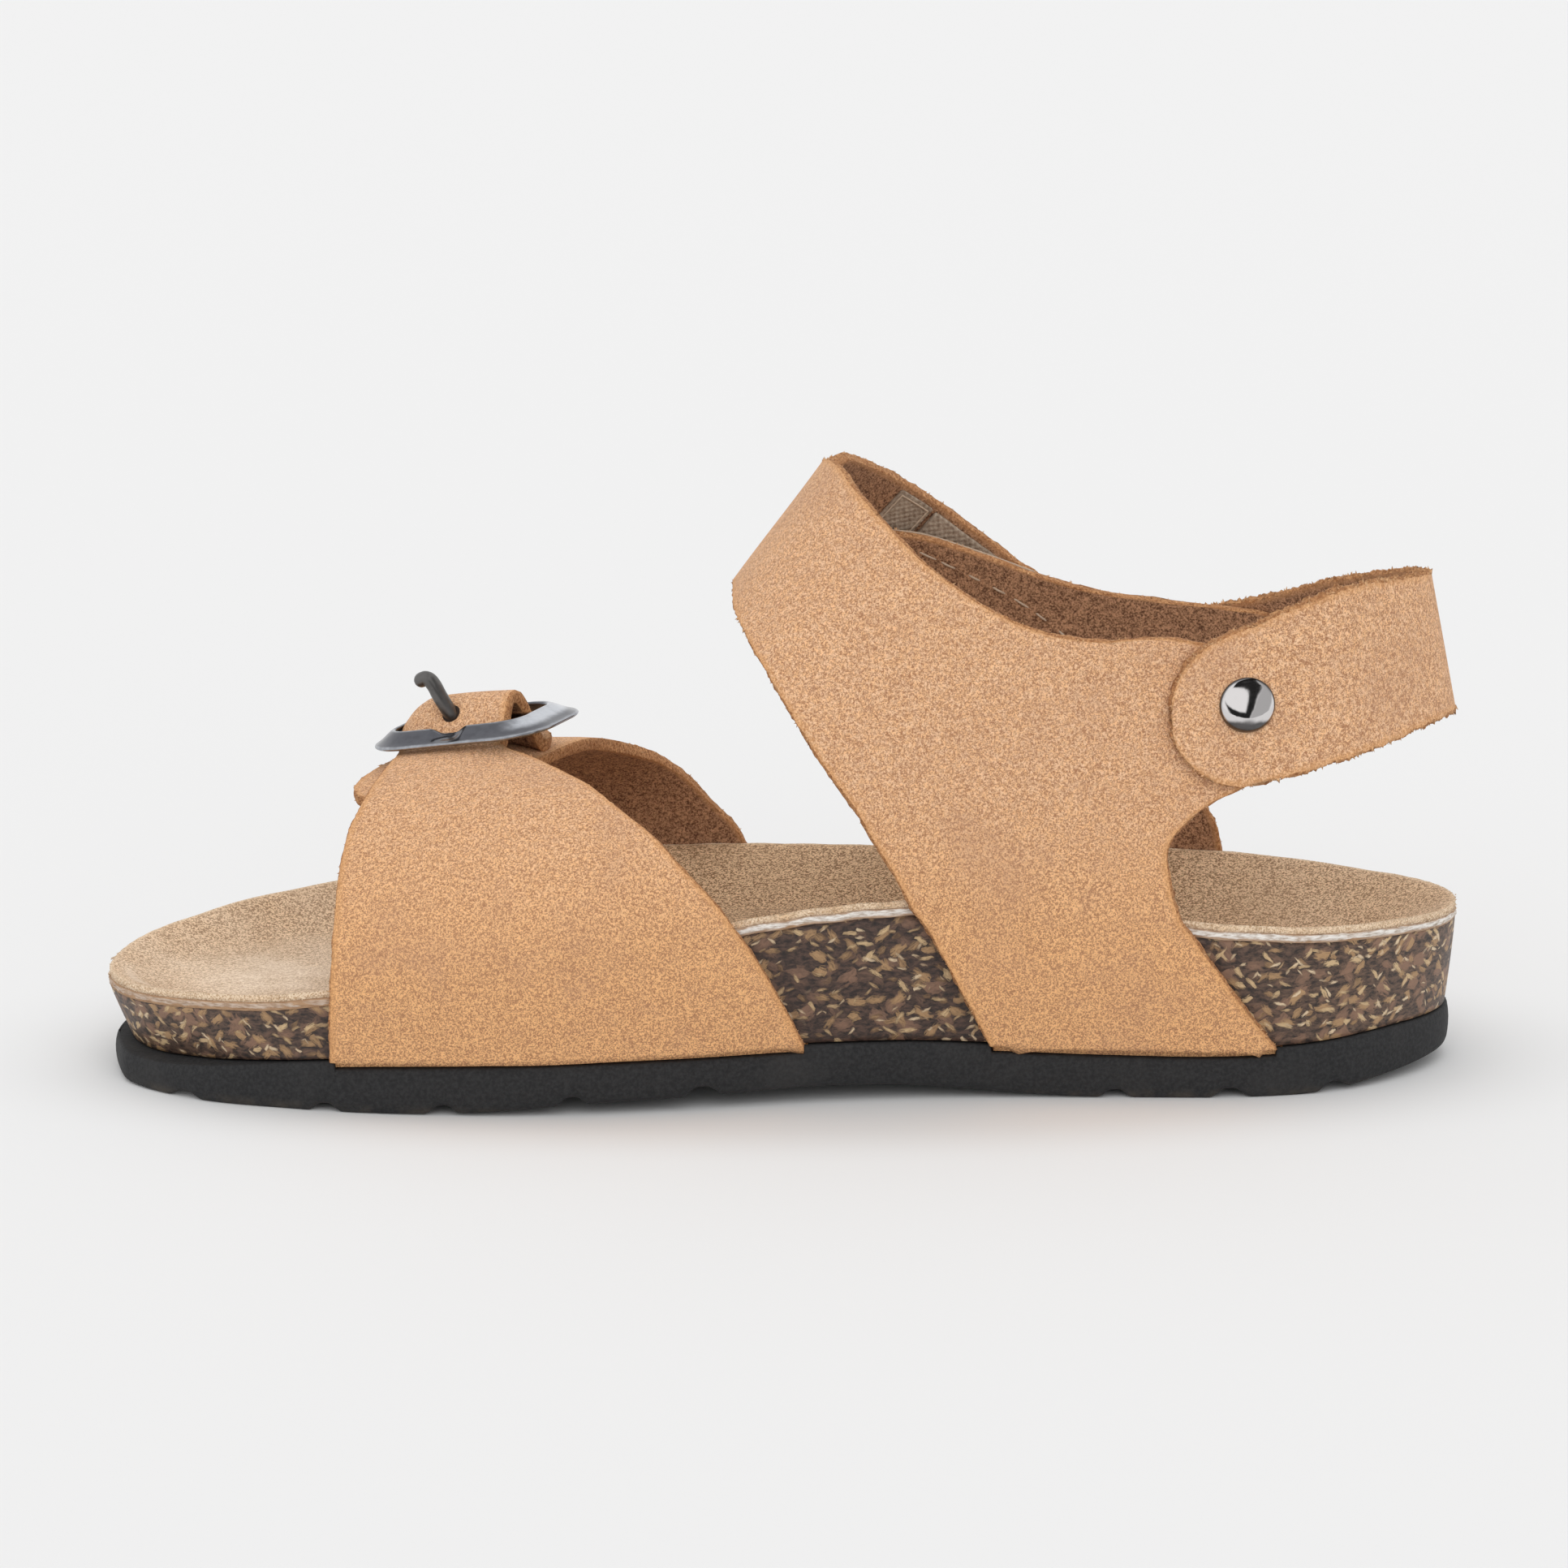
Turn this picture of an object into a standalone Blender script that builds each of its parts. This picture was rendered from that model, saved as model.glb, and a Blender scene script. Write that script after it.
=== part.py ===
"""Child's cork-footbed sandal for the right foot: buckled toe strap, instep strap and riveted heel strap.

Metres, +Z up. The toe points to -X, the inner (medial) side of the foot faces -Y, the floor is z = 0.
Tables are in millimetres. The upper lies on a last: at each station x a section runs round the foot
by its turn in degrees, from the medial rim of the footbed (0) over the crest (90) to the lateral rim (180).
Below a rim the turn goes on 30 degrees down the cork wall and 30 more under it, for the lasting margin.
"""
import math

import bmesh
import bpy
import numpy as np
from mathutils import Matrix, Vector

MM = 0.001

# Driving sizes
LENGTH = 190.0
BALL_WIDTH = 73.0
CREST_Y = -6.0
GAP = 0.3
LAYER_GAP = 0.2

# Footbed layers and sole
SUEDE = 0.7
JUTE = 0.8
CORK_TAPER = 1.2
DISH_POWER = 3.0
TIP_POWER = 6.0
SOLE_TOP_INSET = 0.9
SOLE_BULGE_INSET = 0.5
SOLE_BULGE_SHARE = 0.55
SOLE_LIP = 1.0
SOLE_FOOT_INSET = 1.9
SOLE_FOOT_ROUND = 1.2
SOLE_CORE_INSET = 8.6
CORE_SHARE = 0.45
STEP = 0.05

# Small steps for slopes, in millimetres or degrees, and along the outline parameter
PROBE = 0.05
PROBE_U = 5e-4

# Straps
LEATHER = 1.8
MARGIN = 7.0
MARGIN_TURN = 30.0
HEM_RUN = 0.45
DIP_POWER = 3.0
LEVEL_TURN = 55.0
SWEPT_TURN = 85.0
FUSE = 0.3
LAP_LIFT = GAP + LEATHER - FUSE
CLOSURE_LIFT = 3.6
CLOSURE_ROWS = 3.0
STRAP_STEP = 4.2
STRAP_COLUMNS = 9
HEEL_LEAN = 0.2
LEAN_FROM_HEIGHT = 27.0
LEAN_FROM_X = 55.0
LEAN_TO_X = 95.0

# Buckle, in its own frame: b along the bars towards the heel, q along the tongue towards the outer side
BUCKLE_X = -43.6
BUCKLE_Y = -1.5
BUCKLE_YAW = math.radians(23.0)
FRAME_LENGTH = 26.0
FRAME_WIDTH = 19.4
FRAME_BAR = 2.6
FRAME_CORNER = 4.5
FRAME_THICKNESS = 1.5
WINDOW_CORNER = 1.5
BUCKLE_REST = 6.0
CENTRE_BAR = 2.2
TONGUE_HALF = 7.6
ARCH_HALF = 6.2
ARCH_RISE = 5.8
PRONG_RADIUS = 0.65
PRONG_HOLE_RADIUS = 1.25
PRONG_HOLE_LENGTH = 5.0

# Cap rivets and hook patch
RIVET_CAP_RADIUS = 3.85
RIVET_CAP_HEIGHT = 1.7
RIVET_CAP_WALL = 0.5
RIVET_SHANK_RADIUS = 1.6
RIVET_HOLE_LENGTH = 16.0
RIVET_INNER_RADIUS = 3.4
RIVET_INNER_THICKNESS = 0.7
RIVET_SIDES = 20
DOME_TURNS = (90.0, 75.0, 60.0, 40.0, 20.0, 0.0)
PATCH = 0.9
PATCH_LENGTH = 25.0
PATCH_BORDER = 0.14
PATCH_ROW = 4

# Plan of the footbed rim: station from toe (0) to heel (1), half widths as shares of the ball width
PLAN = np.array([
    # station, medial, lateral
    (0.000, -0.106, -0.106),
    (0.026, -0.271, 0.134),
    (0.058, -0.342, 0.216),
    (0.090, -0.394, 0.284),
    (0.130, -0.438, 0.350),
    (0.180, -0.471, 0.409),
    (0.250, -0.495, 0.464),
    (0.330, -0.501, 0.496),
    (0.420, -0.472, 0.496),
    (0.520, -0.416, 0.464),
    (0.630, -0.379, 0.413),
    (0.740, -0.372, 0.373),
    (0.840, -0.368, 0.343),
    (0.910, -0.323, 0.282),
    (0.960, -0.229, 0.190),
    (0.985, -0.151, 0.108),
    (1.000, -0.024, -0.024),
])

# Heights along the shoe: rims of the footbed, its floor, and the outsole's top and bottom
HEIGHTS = np.array([
    # x, rim medial, rim lateral, floor, sole top, sole bottom
    (-95.0, 14.3, 14.3, 12.4, 4.2, 0.9),
    (-88.0, 14.6, 15.2, 12.1, 4.9, 0.35),
    (-80.0, 15.4, 16.4, 12.1, 5.9, 0.1),
    (-70.0, 16.4, 17.2, 12.3, 6.8, 0.0),
    (-60.0, 18.0, 17.8, 12.7, 7.4, 0.0),
    (-45.0, 20.7, 18.9, 13.3, 8.0, 0.2),
    (-28.0, 23.6, 20.2, 13.9, 8.5, 0.9),
    (-8.0, 26.8, 21.3, 15.6, 8.9, 1.9),
    (8.0, 28.5, 21.7, 17.0, 9.2, 2.9),
    (17.0, 28.9, 21.9, 17.2, 9.1, 2.6),
    (30.0, 28.3, 22.3, 16.8, 8.7, 1.6),
    (44.0, 27.0, 22.7, 15.8, 8.3, 0.2),
    (57.0, 25.5, 22.8, 14.9, 8.0, 0.0),
    (72.0, 24.3, 22.4, 14.6, 7.9, 0.0),
    (84.0, 23.7, 22.0, 14.9, 8.1, 0.5),
    (95.0, 22.6, 22.6, 16.0, 7.8, 1.6),
])

# Crest of the last, where the straps pass over the foot
CREST = np.array([
    # x, height
    (-75.0, 35.0),
    (-62.0, 38.6),
    (-45.0, 42.2),
    (-30.0, 44.6),
    (-20.0, 47.0),
    (-13.0, 54.0),
    (-6.0, 65.6),
    (6.0, 82.7),
    (40.0, 131.0),
    (95.0, 210.0),
])

# Grooves across the tread that cut the sole's lower edge into lugs
GROOVES = np.array([
    # x, width, depth
    (-83.0, 2.4, 1.2),
    (-63.5, 2.4, 1.4),
    (-47.0, 2.4, 1.4),
    (-29.0, 2.4, 1.4),
    (-11.0, 3.0, 1.6),
    (46.0, 2.4, 1.4),
    (62.0, 3.0, 1.6),
    (77.0, 2.4, 1.3),
])

# Strap edges seen from the side, from the sole up: one row a section, front edge then back edge
TOE_MEDIAL = np.array([
    # front x, front z, back x, back z
    (-62.0, 8.0, 2.5, 8.0),
    (-61.6, 16.0, -1.0, 16.4),
    (-61.2, 22.0, -4.5, 23.2),
    (-60.8, 26.6, -8.6, 28.3),
    (-60.3, 32.0, -13.6, 33.9),
    (-58.9, 35.6, -18.4, 38.1),
])
TOE_LATERAL = np.array([
    # front x, front z, back x, back z
    (-58.0, 8.0, 0.0, 8.0),
    (-57.6, 13.0, -3.4, 15.0),
    (-56.5, 18.5, -6.2, 21.5),
    (-53.0, 24.0, -10.8, 27.0),
    (-48.5, 28.2, -15.4, 32.0),
])
QUARTER_MEDIAL = np.array([
    # front x, front z, back x, back z
    (28.7, 8.0, 69.0, 8.0),
    (24.5, 16.0, 62.0, 16.3),
    (20.0, 24.4, 56.3, 24.2),
    (15.6, 31.8, 52.8, 31.9),
    (12.4, 37.2, 52.9, 37.4),
    (9.4, 42.4, 58.0, 42.5),
    (6.4, 47.4, 65.0, 46.4),
    (3.6, 52.0, 67.6, 53.0),
    (1.2, 55.6, 63.5, 61.6),
    (-0.4, 58.0, 53.0, 65.2),
    (-1.8, 60.0, 43.0, 64.8),
    (-2.9, 61.6, 34.6, 66.1),
    (-4.0, 63.4, 25.4, 70.5),
    (-4.8, 64.8, 17.6, 76.3),
    (-5.3, 65.8, 11.5, 82.4),
])
CREST_ROW = (-5.4, 7.6)
INSTEP_LATERAL = np.array([
    # front x, front z, back x, back z
    (-3.4, 64.8, 11.2, 81.6),
    (2.6, 60.4, 17.0, 77.0),
    (10.6, 53.6, 25.0, 70.6),
    (18.6, 47.4, 33.0, 64.4),
    (26.4, 42.0, 40.0, 59.4),
    (32.2, 39.8, 43.8, 54.6),
    (37.0, 41.0, 44.2, 49.4),
])
QUARTER_LATERAL = np.array([
    # front x, front z, back x, back z
    (29.0, 8.0, 69.0, 8.0),
    (25.0, 15.0, 65.4, 15.6),
    (21.0, 22.4, 63.2, 23.0),
    (17.6, 28.6, 61.4, 29.0),
    (14.6, 33.8, 61.2, 34.0),
    (11.8, 38.8, 62.8, 38.6),
    (9.2, 43.2, 66.0, 44.0),
    (7.0, 47.2, 67.4, 49.5),
    (5.2, 50.8, 66.4, 55.2),
    (4.0, 53.6, 62.0, 58.4),
    (3.2, 56.0, 56.0, 59.0),
    (3.0, 58.0, 49.0, 59.6),
    (3.0, 59.8, 40.0, 61.4),
    (3.4, 61.6, 30.0, 65.2),
    (4.4, 63.8, 21.4, 68.2),
    (6.2, 65.8, 14.0, 69.2),
])

# Tongue rows over the crest: front and back edge in the buckle's frame
TONGUE = np.array([
    # front q, front b, back q, back b, back lift
    (-21.0, -5.6, -13.8, 26.1, 0.7),
    (-16.0, -6.0, -11.2, 19.4, 1.0),
    (-11.6, -6.4, -8.6, 13.2, 1.6),
    (-8.4, -6.9, -6.8, 8.6, 1.8),
])
TONGUE_END = 26.0
UNDERLAY_FRONT = -11.0
UNDERLAY_BACK = 7.8
UNDERLAY_END = -18.5
UNDERLAY_ROUND = 5.0
UNDERLAY_ROWS = np.array([
    # q, back lift
    (27.0, -1.1),
    (18.0, -1.9),
    (8.0, -2.4),
    (-2.0, -2.4),
])

# Heel strap: station on the outline, medial side first, with the band's middle height and half width
HEEL_STRAP = np.array([
    # way round (negative medial, 0 at the heel end), middle height, half width
    (-0.312, 55.2, 10.6),
    (-0.270, 56.2, 10.8),
    (-0.236, 58.0, 11.2),
    (-0.200, 59.5, 11.3),
    (-0.150, 60.3, 10.9),
    (-0.090, 60.4, 10.1),
    (0.000, 59.1, 9.7),
    (0.066, 57.4, 9.8),
    (0.146, 54.5, 9.9),
    (0.200, 51.7, 10.1),
    (0.236, 49.6, 10.3),
    (0.270, 48.2, 10.4),
    (0.312, 47.7, 10.4),
])
HEEL_END = 0.052
HEEL_STATIONS = 25
HEEL_COLUMNS = 6
END_TURNS = (8.0, 28.0, 50.0, 72.0, 90.0)
CORNER_TURNS = (0.0, 30.0, 55.0, 75.0, 88.0)
RIVET_WAY = 0.268

# Prong in the buckle's frame: hooked under the centre bar, up through the tongue, its end bent to the toe
PRONG = np.array([
    # b, q, height over the plate's middle
    (-0.2, 1.2, -1.60),
    (-0.2, -0.6, -1.62),
    (-0.2, -1.8, -1.10),
    (-0.2, -2.1, 0.10),
    (-0.2, -2.5, 1.10),
    (-0.4, -3.2, 2.20),
    (-0.9, -3.7, 3.80),
    (-1.9, -4.0, 5.80),
    (-2.7, -4.1, 7.30),
    (-3.4, -4.1, 8.00),
    (-4.7, -4.1, 8.20),
])
HOLE_ROW = 4
PRONG_STATIONS = 24

FINISHES = {
    # name: (red, green, blue), roughness, metallic
    "eva": ((0.020, 0.020, 0.022), 0.75, 0.0),
    "cork": ((0.140, 0.085, 0.050), 0.80, 0.0),
    "jute": ((0.620, 0.540, 0.440), 0.90, 0.0),
    "suede": ((0.480, 0.330, 0.190), 0.95, 0.0),
    "nubuck": ((0.620, 0.360, 0.160), 0.90, 0.0),
    "hook_tape": ((0.330, 0.240, 0.160), 0.90, 0.0),
    "gunmetal": ((0.180, 0.180, 0.190), 0.30, 1.0),
}


def through(table_x, table_y, x):
    """Cubic curve through a table's rows, each row's slope taken from its neighbours."""
    slope = np.gradient(table_y, table_x)
    low = np.clip(np.searchsorted(table_x, x) - 1, 0, len(table_x) - 2)
    span = table_x[low + 1] - table_x[low]
    t = np.clip((x - table_x[low]) / span, 0.0, 1.0)
    ease = t * t * (3.0 - 2.0 * t)
    start = (t * (1.0 - t) ** 2) * span * slope[low]
    stop = (t * t * (t - 1.0)) * span * slope[low + 1]
    return table_y[low] * (1.0 - ease) + table_y[low + 1] * ease + start + stop


def share_of(x):
    """Outline parameter u (0 toe, 1 heel) of a length x; it crowds the stations where the ends are round."""
    return np.arccos(np.clip(-2.0 * np.asarray(x, float) / LENGTH, -1.0, 1.0)) / np.pi


PLAN_U = share_of((PLAN[:, 0] - 0.5) * LENGTH)


def length_at(u):
    return -0.5 * LENGTH * np.cos(np.pi * np.asarray(u, float))


def edge_y(x, side):
    """Half width of the plan at x: side 1 is the medial column, 2 the lateral one."""
    return BALL_WIDTH * through(PLAN_U, PLAN[:, side], share_of(x))


def height(x, column):
    return through(HEIGHTS[:, 0], HEIGHTS[:, column], np.asarray(x, float))


def crest_height(x):
    return through(CREST[:, 0], CREST[:, 1], np.asarray(x, float))


def seat_height(x):
    """Underside of the cork, one gap above the outsole."""
    return height(x, 4) + GAP


def outline(u, side, inset):
    """Point of the plan's edge moved inwards by inset along its normal."""
    u = np.asarray(u, float)
    ahead, behind = u + PROBE_U, u - PROBE_U

    def point(w):
        other = 3 - side
        wrapped = np.where(w < 0.0, -w, np.where(w > 1.0, 2.0 - w, w))
        same = (w >= 0.0) & (w <= 1.0)
        x = length_at(wrapped)
        return x, np.where(same, edge_y(x, side), edge_y(x, other))

    xa, ya = point(ahead)
    xb, yb = point(behind)
    x, y = point(u)
    tx, ty = xa - xb, ya - yb
    size = np.hypot(tx, ty)
    hand = 1.0 if side == 1 else -1.0
    return x - hand * ty / size * inset, y + hand * tx / size * inset


def last(x, turn):
    """Surface of the last at station x and turn: an elliptic arch over the rims, walls and margins below."""
    x, turn = np.broadcast_arrays(np.asarray(x, float), np.asarray(turn, float))
    medial = turn <= 90.0
    angle = np.where(medial, turn, 180.0 - turn)
    edge = np.where(medial, edge_y(x, 1), edge_y(x, 2))
    rim = np.where(medial, height(x, 1), height(x, 2))
    seat = seat_height(x)
    rise = np.radians(np.clip(angle, 0.0, 90.0))
    wall = np.clip(-angle / MARGIN_TURN, 0.0, 1.0)
    under = np.clip(-angle / MARGIN_TURN - 1.0, 0.0, 1.0)
    inward = np.where(medial, 1.0, -1.0)
    y = CREST_Y + (edge - CREST_Y) * np.cos(rise) + inward * (CORK_TAPER * wall + MARGIN * under)
    z = rim + (crest_height(x) - rim) * np.sin(rise) + (seat - rim) * wall
    reach = np.clip((x - LEAN_FROM_X) / (LEAN_TO_X - LEAN_FROM_X), 0.0, 1.0)
    lean = HEEL_LEAN * np.maximum(z - LEAN_FROM_HEIGHT, 0.0) * reach * reach * (3.0 - 2.0 * reach)
    return np.stack([x - lean, y, z], -1)


def turn_at_height(x, z, side):
    """Turn of the last's point at station x and height z, on the medial (1) or lateral (2) side."""
    x, z = np.asarray(x, float), np.asarray(z, float)
    rim, seat = height(x, side), seat_height(x)
    above = np.degrees(np.arcsin(np.clip((z - rim) / (crest_height(x) - rim), 0.0, 1.0)))
    below = MARGIN_TURN * np.clip((rim - z) / (rim - seat), 0.0, 1.0)
    angle = above - below
    return angle if side == 1 else 180.0 - angle


def turn_in_plan(x, y):
    """Turn of the last's point over the plan position x, y."""
    medial = y <= CREST_Y
    edge = np.where(medial, edge_y(x, 1), edge_y(x, 2))
    angle = np.degrees(np.arccos(np.clip((y - CREST_Y) / (edge - CREST_Y), 0.0, 1.0)))
    return np.where(medial, angle, 180.0 - angle)


def side_rows(table, side):
    """Rows of front x, front turn, back x, back turn, from heights on one side."""
    front = turn_at_height(table[:, 0], table[:, 1], side)
    back = turn_at_height(table[:, 2], table[:, 3], side)
    return np.stack([table[:, 0], front, table[:, 2], back], -1)


def lasted_rows(table, side):
    """Side rows of a strap glued under the cork: its margin comes first, then the turn of the cork's edge."""
    rows = side_rows(table, side)
    edge_turn, margin_turn = -MARGIN_TURN, -2.0 * MARGIN_TURN
    rows[0, [1, 3]] = edge_turn if side == 1 else 180.0 - edge_turn
    hem = rows[0] + HEM_RUN * (rows[0] - rows[1])
    hem[[1, 3]] = margin_turn if side == 1 else 180.0 - margin_turn
    return np.vstack([hem, rows])


def buckle_plan(q, b):
    """Plan position of a point of the buckle's frame."""
    sin, cos = math.sin(BUCKLE_YAW), math.cos(BUCKLE_YAW)
    return BUCKLE_X + q * sin + b * cos, BUCKLE_Y + q * cos - b * sin


def buckle_rows(table):
    """Rows of front x, front turn, back x, back turn, from places in the buckle's frame."""
    front_x, front_y = buckle_plan(table[:, 0], table[:, 1])
    back_x, back_y = buckle_plan(table[:, 2], table[:, 3])
    return np.stack([front_x, turn_in_plan(front_x, front_y), back_x, turn_in_plan(back_x, back_y)], -1)


def way_along(rows):
    """Distance travelled along a strap at each of its rows, from the mean step of its two edges."""
    front = last(rows[:, 0], rows[:, 1])
    back = last(rows[:, 2], rows[:, 3])
    step = np.linalg.norm(np.diff(0.5 * (front + back), axis=0), axis=1)
    return np.concatenate([[0.0], np.cumsum(np.maximum(step, 0.5))])


def strap_surface(rows, lifts, way, across):
    """Grid on the last, lifted off it along its normal: each row runs from front edge to back edge.

    Low rows run straight in height; rows near the crest run straight in turn; between them the two mix.
    Each row has a lift at its front edge, which goes over to that of its back edge near the back.
    """
    stops = way_along(rows)
    column = [through(stops, rows[:, k], way)[:, None] for k in range(4)]
    front_lift, back_lift = [through(stops, lifts[:, k], way)[:, None] for k in range(2)]
    lift = front_lift + (back_lift - front_lift) * across ** DIP_POWER
    x = column[0] + (column[2] - column[0]) * across
    swept = column[1] + (column[3] - column[1]) * across
    front_z = last(column[0], column[1])[..., 2]
    back_z = last(column[2], column[3])[..., 2]
    z = front_z + (back_z - front_z) * across
    level = np.where(column[1] <= 90.0, turn_at_height(x, z, 1), turn_at_height(x, z, 2))
    angle = np.where(column[1] <= 90.0, column[1], 180.0 - column[1])
    same_side = (column[1] <= 90.0) == (column[3] <= 90.0)
    top = np.where(same_side, np.maximum(angle, 90.0 - np.abs(90.0 - column[3])), 90.0)
    share = np.clip((top - LEVEL_TURN) / (SWEPT_TURN - LEVEL_TURN), 0.0, 1.0)
    share = np.where(angle < -MARGIN_TURN + PROBE, 1.0, share)
    turn = level + (swept - level) * share
    along_x = last(x + PROBE, turn) - last(x - PROBE, turn)
    along_turn = last(x, turn + PROBE) - last(x, turn - PROBE)
    normal = np.cross(along_x, along_turn)
    normal /= np.linalg.norm(normal, axis=-1, keepdims=True)
    return last(x, turn) + normal * lift[..., None]


def subdivided(stops, step):
    """Every stop, with the spans between cut into steps of about the given length."""
    parts = [np.linspace(a, b, max(1, round((b - a) / step)) + 1)[:-1] for a, b in zip(stops, stops[1:])]
    return np.concatenate(parts + [stops[-1:]])


def clear_scene():
    for thing in list(bpy.data.objects):
        bpy.data.objects.remove(thing, do_unlink=True)


def new_collection(name):
    group = bpy.data.collections.new(name)
    bpy.context.scene.collection.children.link(group)
    return group


def finish(name):
    """Principled material with the colour, roughness and metallic value of one finish."""
    colour, roughness, metallic = FINISHES[name]
    made = bpy.data.materials.new(name)
    made.use_nodes = True
    shader = made.node_tree.nodes["Principled BSDF"]
    shader.inputs["Base Color"].default_value = (*colour, 1.0)
    shader.inputs["Roughness"].default_value = roughness
    shader.inputs["Metallic"].default_value = metallic
    return made


def mesh_object(name, points, faces, group, material):
    mesh = bpy.data.meshes.new(name)
    mesh.from_pydata((np.asarray(points).reshape(-1, 3) * MM).tolist(), [], faces)
    edit = bmesh.new()
    edit.from_mesh(mesh)
    bmesh.ops.remove_doubles(edit, verts=edit.verts, dist=1e-6)
    bmesh.ops.dissolve_degenerate(edit, edges=edit.edges, dist=1e-7)
    edit.to_mesh(mesh)
    edit.free()
    mesh.materials.append(material)
    made = bpy.data.objects.new(name, mesh)
    group.objects.link(made)
    return made


def grid_faces(rows, columns, wrap):
    faces = []
    for i in range(rows - 1):
        for j in range(columns if wrap else columns - 1):
            k = (j + 1) % columns
            faces.append((i * columns + j, i * columns + k, (i + 1) * columns + k, (i + 1) * columns + j))
    return faces


def loft(name, rings, group, material):
    """Closed body through rings along the shoe; the first and last ring fold flat at toe and heel."""
    made = mesh_object(name, rings, grid_faces(rings.shape[0], rings.shape[1], True), group, material)
    edit = bmesh.new()
    edit.from_mesh(made.data)
    bmesh.ops.recalc_face_normals(edit, faces=edit.faces)
    if edit.calc_volume(signed=True) < 0.0:
        bmesh.ops.reverse_faces(edit, faces=edit.faces)
    edit.to_mesh(made.data)
    edit.free()
    return made


def shell(name, grid, thickness, group, material):
    """Open strap surface made a wall: thickness goes outwards from the grid."""
    made = mesh_object(name, grid, grid_faces(grid.shape[0], grid.shape[1], False), group, material)
    wall = made.modifiers.new("Wall", "SOLIDIFY")
    wall.thickness = thickness * MM
    wall.offset = 1.0
    wall.use_quality_normals = True
    return made


def hide_as_cutter(thing):
    thing.hide_render = True
    thing.display_type = "WIRE"


def combine(target, tool, operation):
    step = target.modifiers.new(operation.title(), "BOOLEAN")
    step.operation = operation
    step.solver = "EXACT"
    step.object = tool
    hide_as_cutter(tool)


# Stations along the footbed, and places across it on its top and on the flat seat below
STATIONS = np.linspace(0.0, 1.0, 27)
ACROSS = np.array([-1.0, -0.92, -0.8, -0.6, -0.25, 0.25, 0.6, 0.8, 0.92, 1.0])
SEAT_ACROSS = np.array([1.0, 0.5, -0.5, -1.0])


def footbed_depth(u, across):
    """Share of the dish reached: none at the rim and the tips, all of it in the middle."""
    return (1.0 - np.abs(across) ** DISH_POWER) * (1.0 - np.abs(np.cos(np.pi * u)) ** TIP_POWER)


def footbed_top(u, across, inset, below):
    """Dished top of the footbed, or the same surface a layer further down."""
    u, across = np.broadcast_arrays(u, across)
    mx, my = outline(u, 1, inset)
    lx, ly = outline(u, 2, inset)
    share = 0.5 + 0.5 * across
    x = mx + (lx - mx) * share
    y = my + (ly - my) * share
    station = length_at(u)
    rim = np.where(across < 0.0, height(station, 1), height(station, 2))
    z = rim - (rim - height(x, 3)) * footbed_depth(u, across) - below
    return np.stack([x, y, z], -1)


def layer(name, top_below, thickness, group, material):
    """Sheet of even thickness over the whole footbed."""
    u = STATIONS[:, None]
    top = footbed_top(u, ACROSS[None, :], 0.0, top_below)
    low = footbed_top(u, ACROSS[None, ::-1], 0.0, top_below + thickness)
    return loft(name, np.concatenate([top, low], axis=1), group, material)


def cork_footbed(group, material):
    u = STATIONS[:, None]
    below = SUEDE + JUTE + 2.0 * LAYER_GAP
    top = footbed_top(u, ACROSS[None, :], 0.0, below)
    low = footbed_top(u, SEAT_ACROSS[None, :], CORK_TAPER, 0.0)
    low[..., 2] = seat_height(low[..., 0])
    return loft("cork_footbed", np.concatenate([top, low], axis=1), group, material)


def outsole(group, material):
    """EVA sole: flat top with recesses for the lasting margins, bulged side, tread cut by cross grooves."""
    recesses = [(1, TOE_MEDIAL), (2, TOE_LATERAL), (1, QUARTER_MEDIAL), (2, QUARTER_LATERAL)]
    stops = list(length_at(STATIONS))
    spans = []
    for side, table in recesses:
        glued = lasted_rows(table, side)[:2]
        start, stop = glued[:, 0].min() - 2.0 * GAP, glued[:, 2].max() + 2.0 * GAP
        spans.append((side, start, stop))
        stops += [start, start - STEP, stop, stop + STEP]
    for x, width, _ in GROOVES:
        stops += [x - width / 2, x - width / 2 - STEP, x + width / 2, x + width / 2 + STEP]
    x = np.array(sorted(set(round(s, 4) for s in stops)))
    x = x[np.concatenate([[True], np.diff(x) > 0.5 * STEP])]
    u = share_of(x)

    cut = np.zeros_like(x)
    for centre, width, depth in GROOVES:
        cut = np.where(np.abs(x - centre) < width / 2 + 0.5 * STEP, depth, cut)
    sink = {1: np.zeros_like(x), 2: np.zeros_like(x)}
    for side, start, stop in spans:
        inside = (x > start - 0.5 * STEP) & (x < stop + 0.5 * STEP)
        sink[side] = np.where(inside, LEATHER + 2.0 * GAP, sink[side])

    def edge(side, inset, z):
        ex, ey = outline(u, side, inset)
        return np.stack([ex, ey, z], -1)

    def core(side, inset, z):
        near, far = edge(side, SOLE_TOP_INSET, z), edge(3 - side, SOLE_TOP_INSET, z)
        reach = np.abs(far[:, 1] - near[:, 1])
        near[:, 1] += np.sign(far[:, 1] - near[:, 1]) * np.minimum(inset, CORE_SHARE * reach)
        return near

    top = height(x, 4)
    foot = np.maximum(height(x, 5), 0.0) + cut
    middle = foot + SOLE_BULGE_SHARE * (top - foot)
    half = []
    for side in (1, 2):
        half.append([
            core(side, SOLE_CORE_INSET + STEP, top),
            core(side, SOLE_CORE_INSET, top - sink[side]),
            edge(side, SOLE_TOP_INSET, top - sink[side]),
            edge(side, SOLE_BULGE_INSET, np.minimum(middle, top - sink[side] - SOLE_LIP)),
            edge(side, SOLE_TOP_INSET, foot + SOLE_FOOT_ROUND),
            edge(side, SOLE_FOOT_INSET, foot),
        ])
    ring = half[0] + half[1][::-1]
    return loft("outsole", np.stack(ring, axis=1), group, material)


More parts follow.
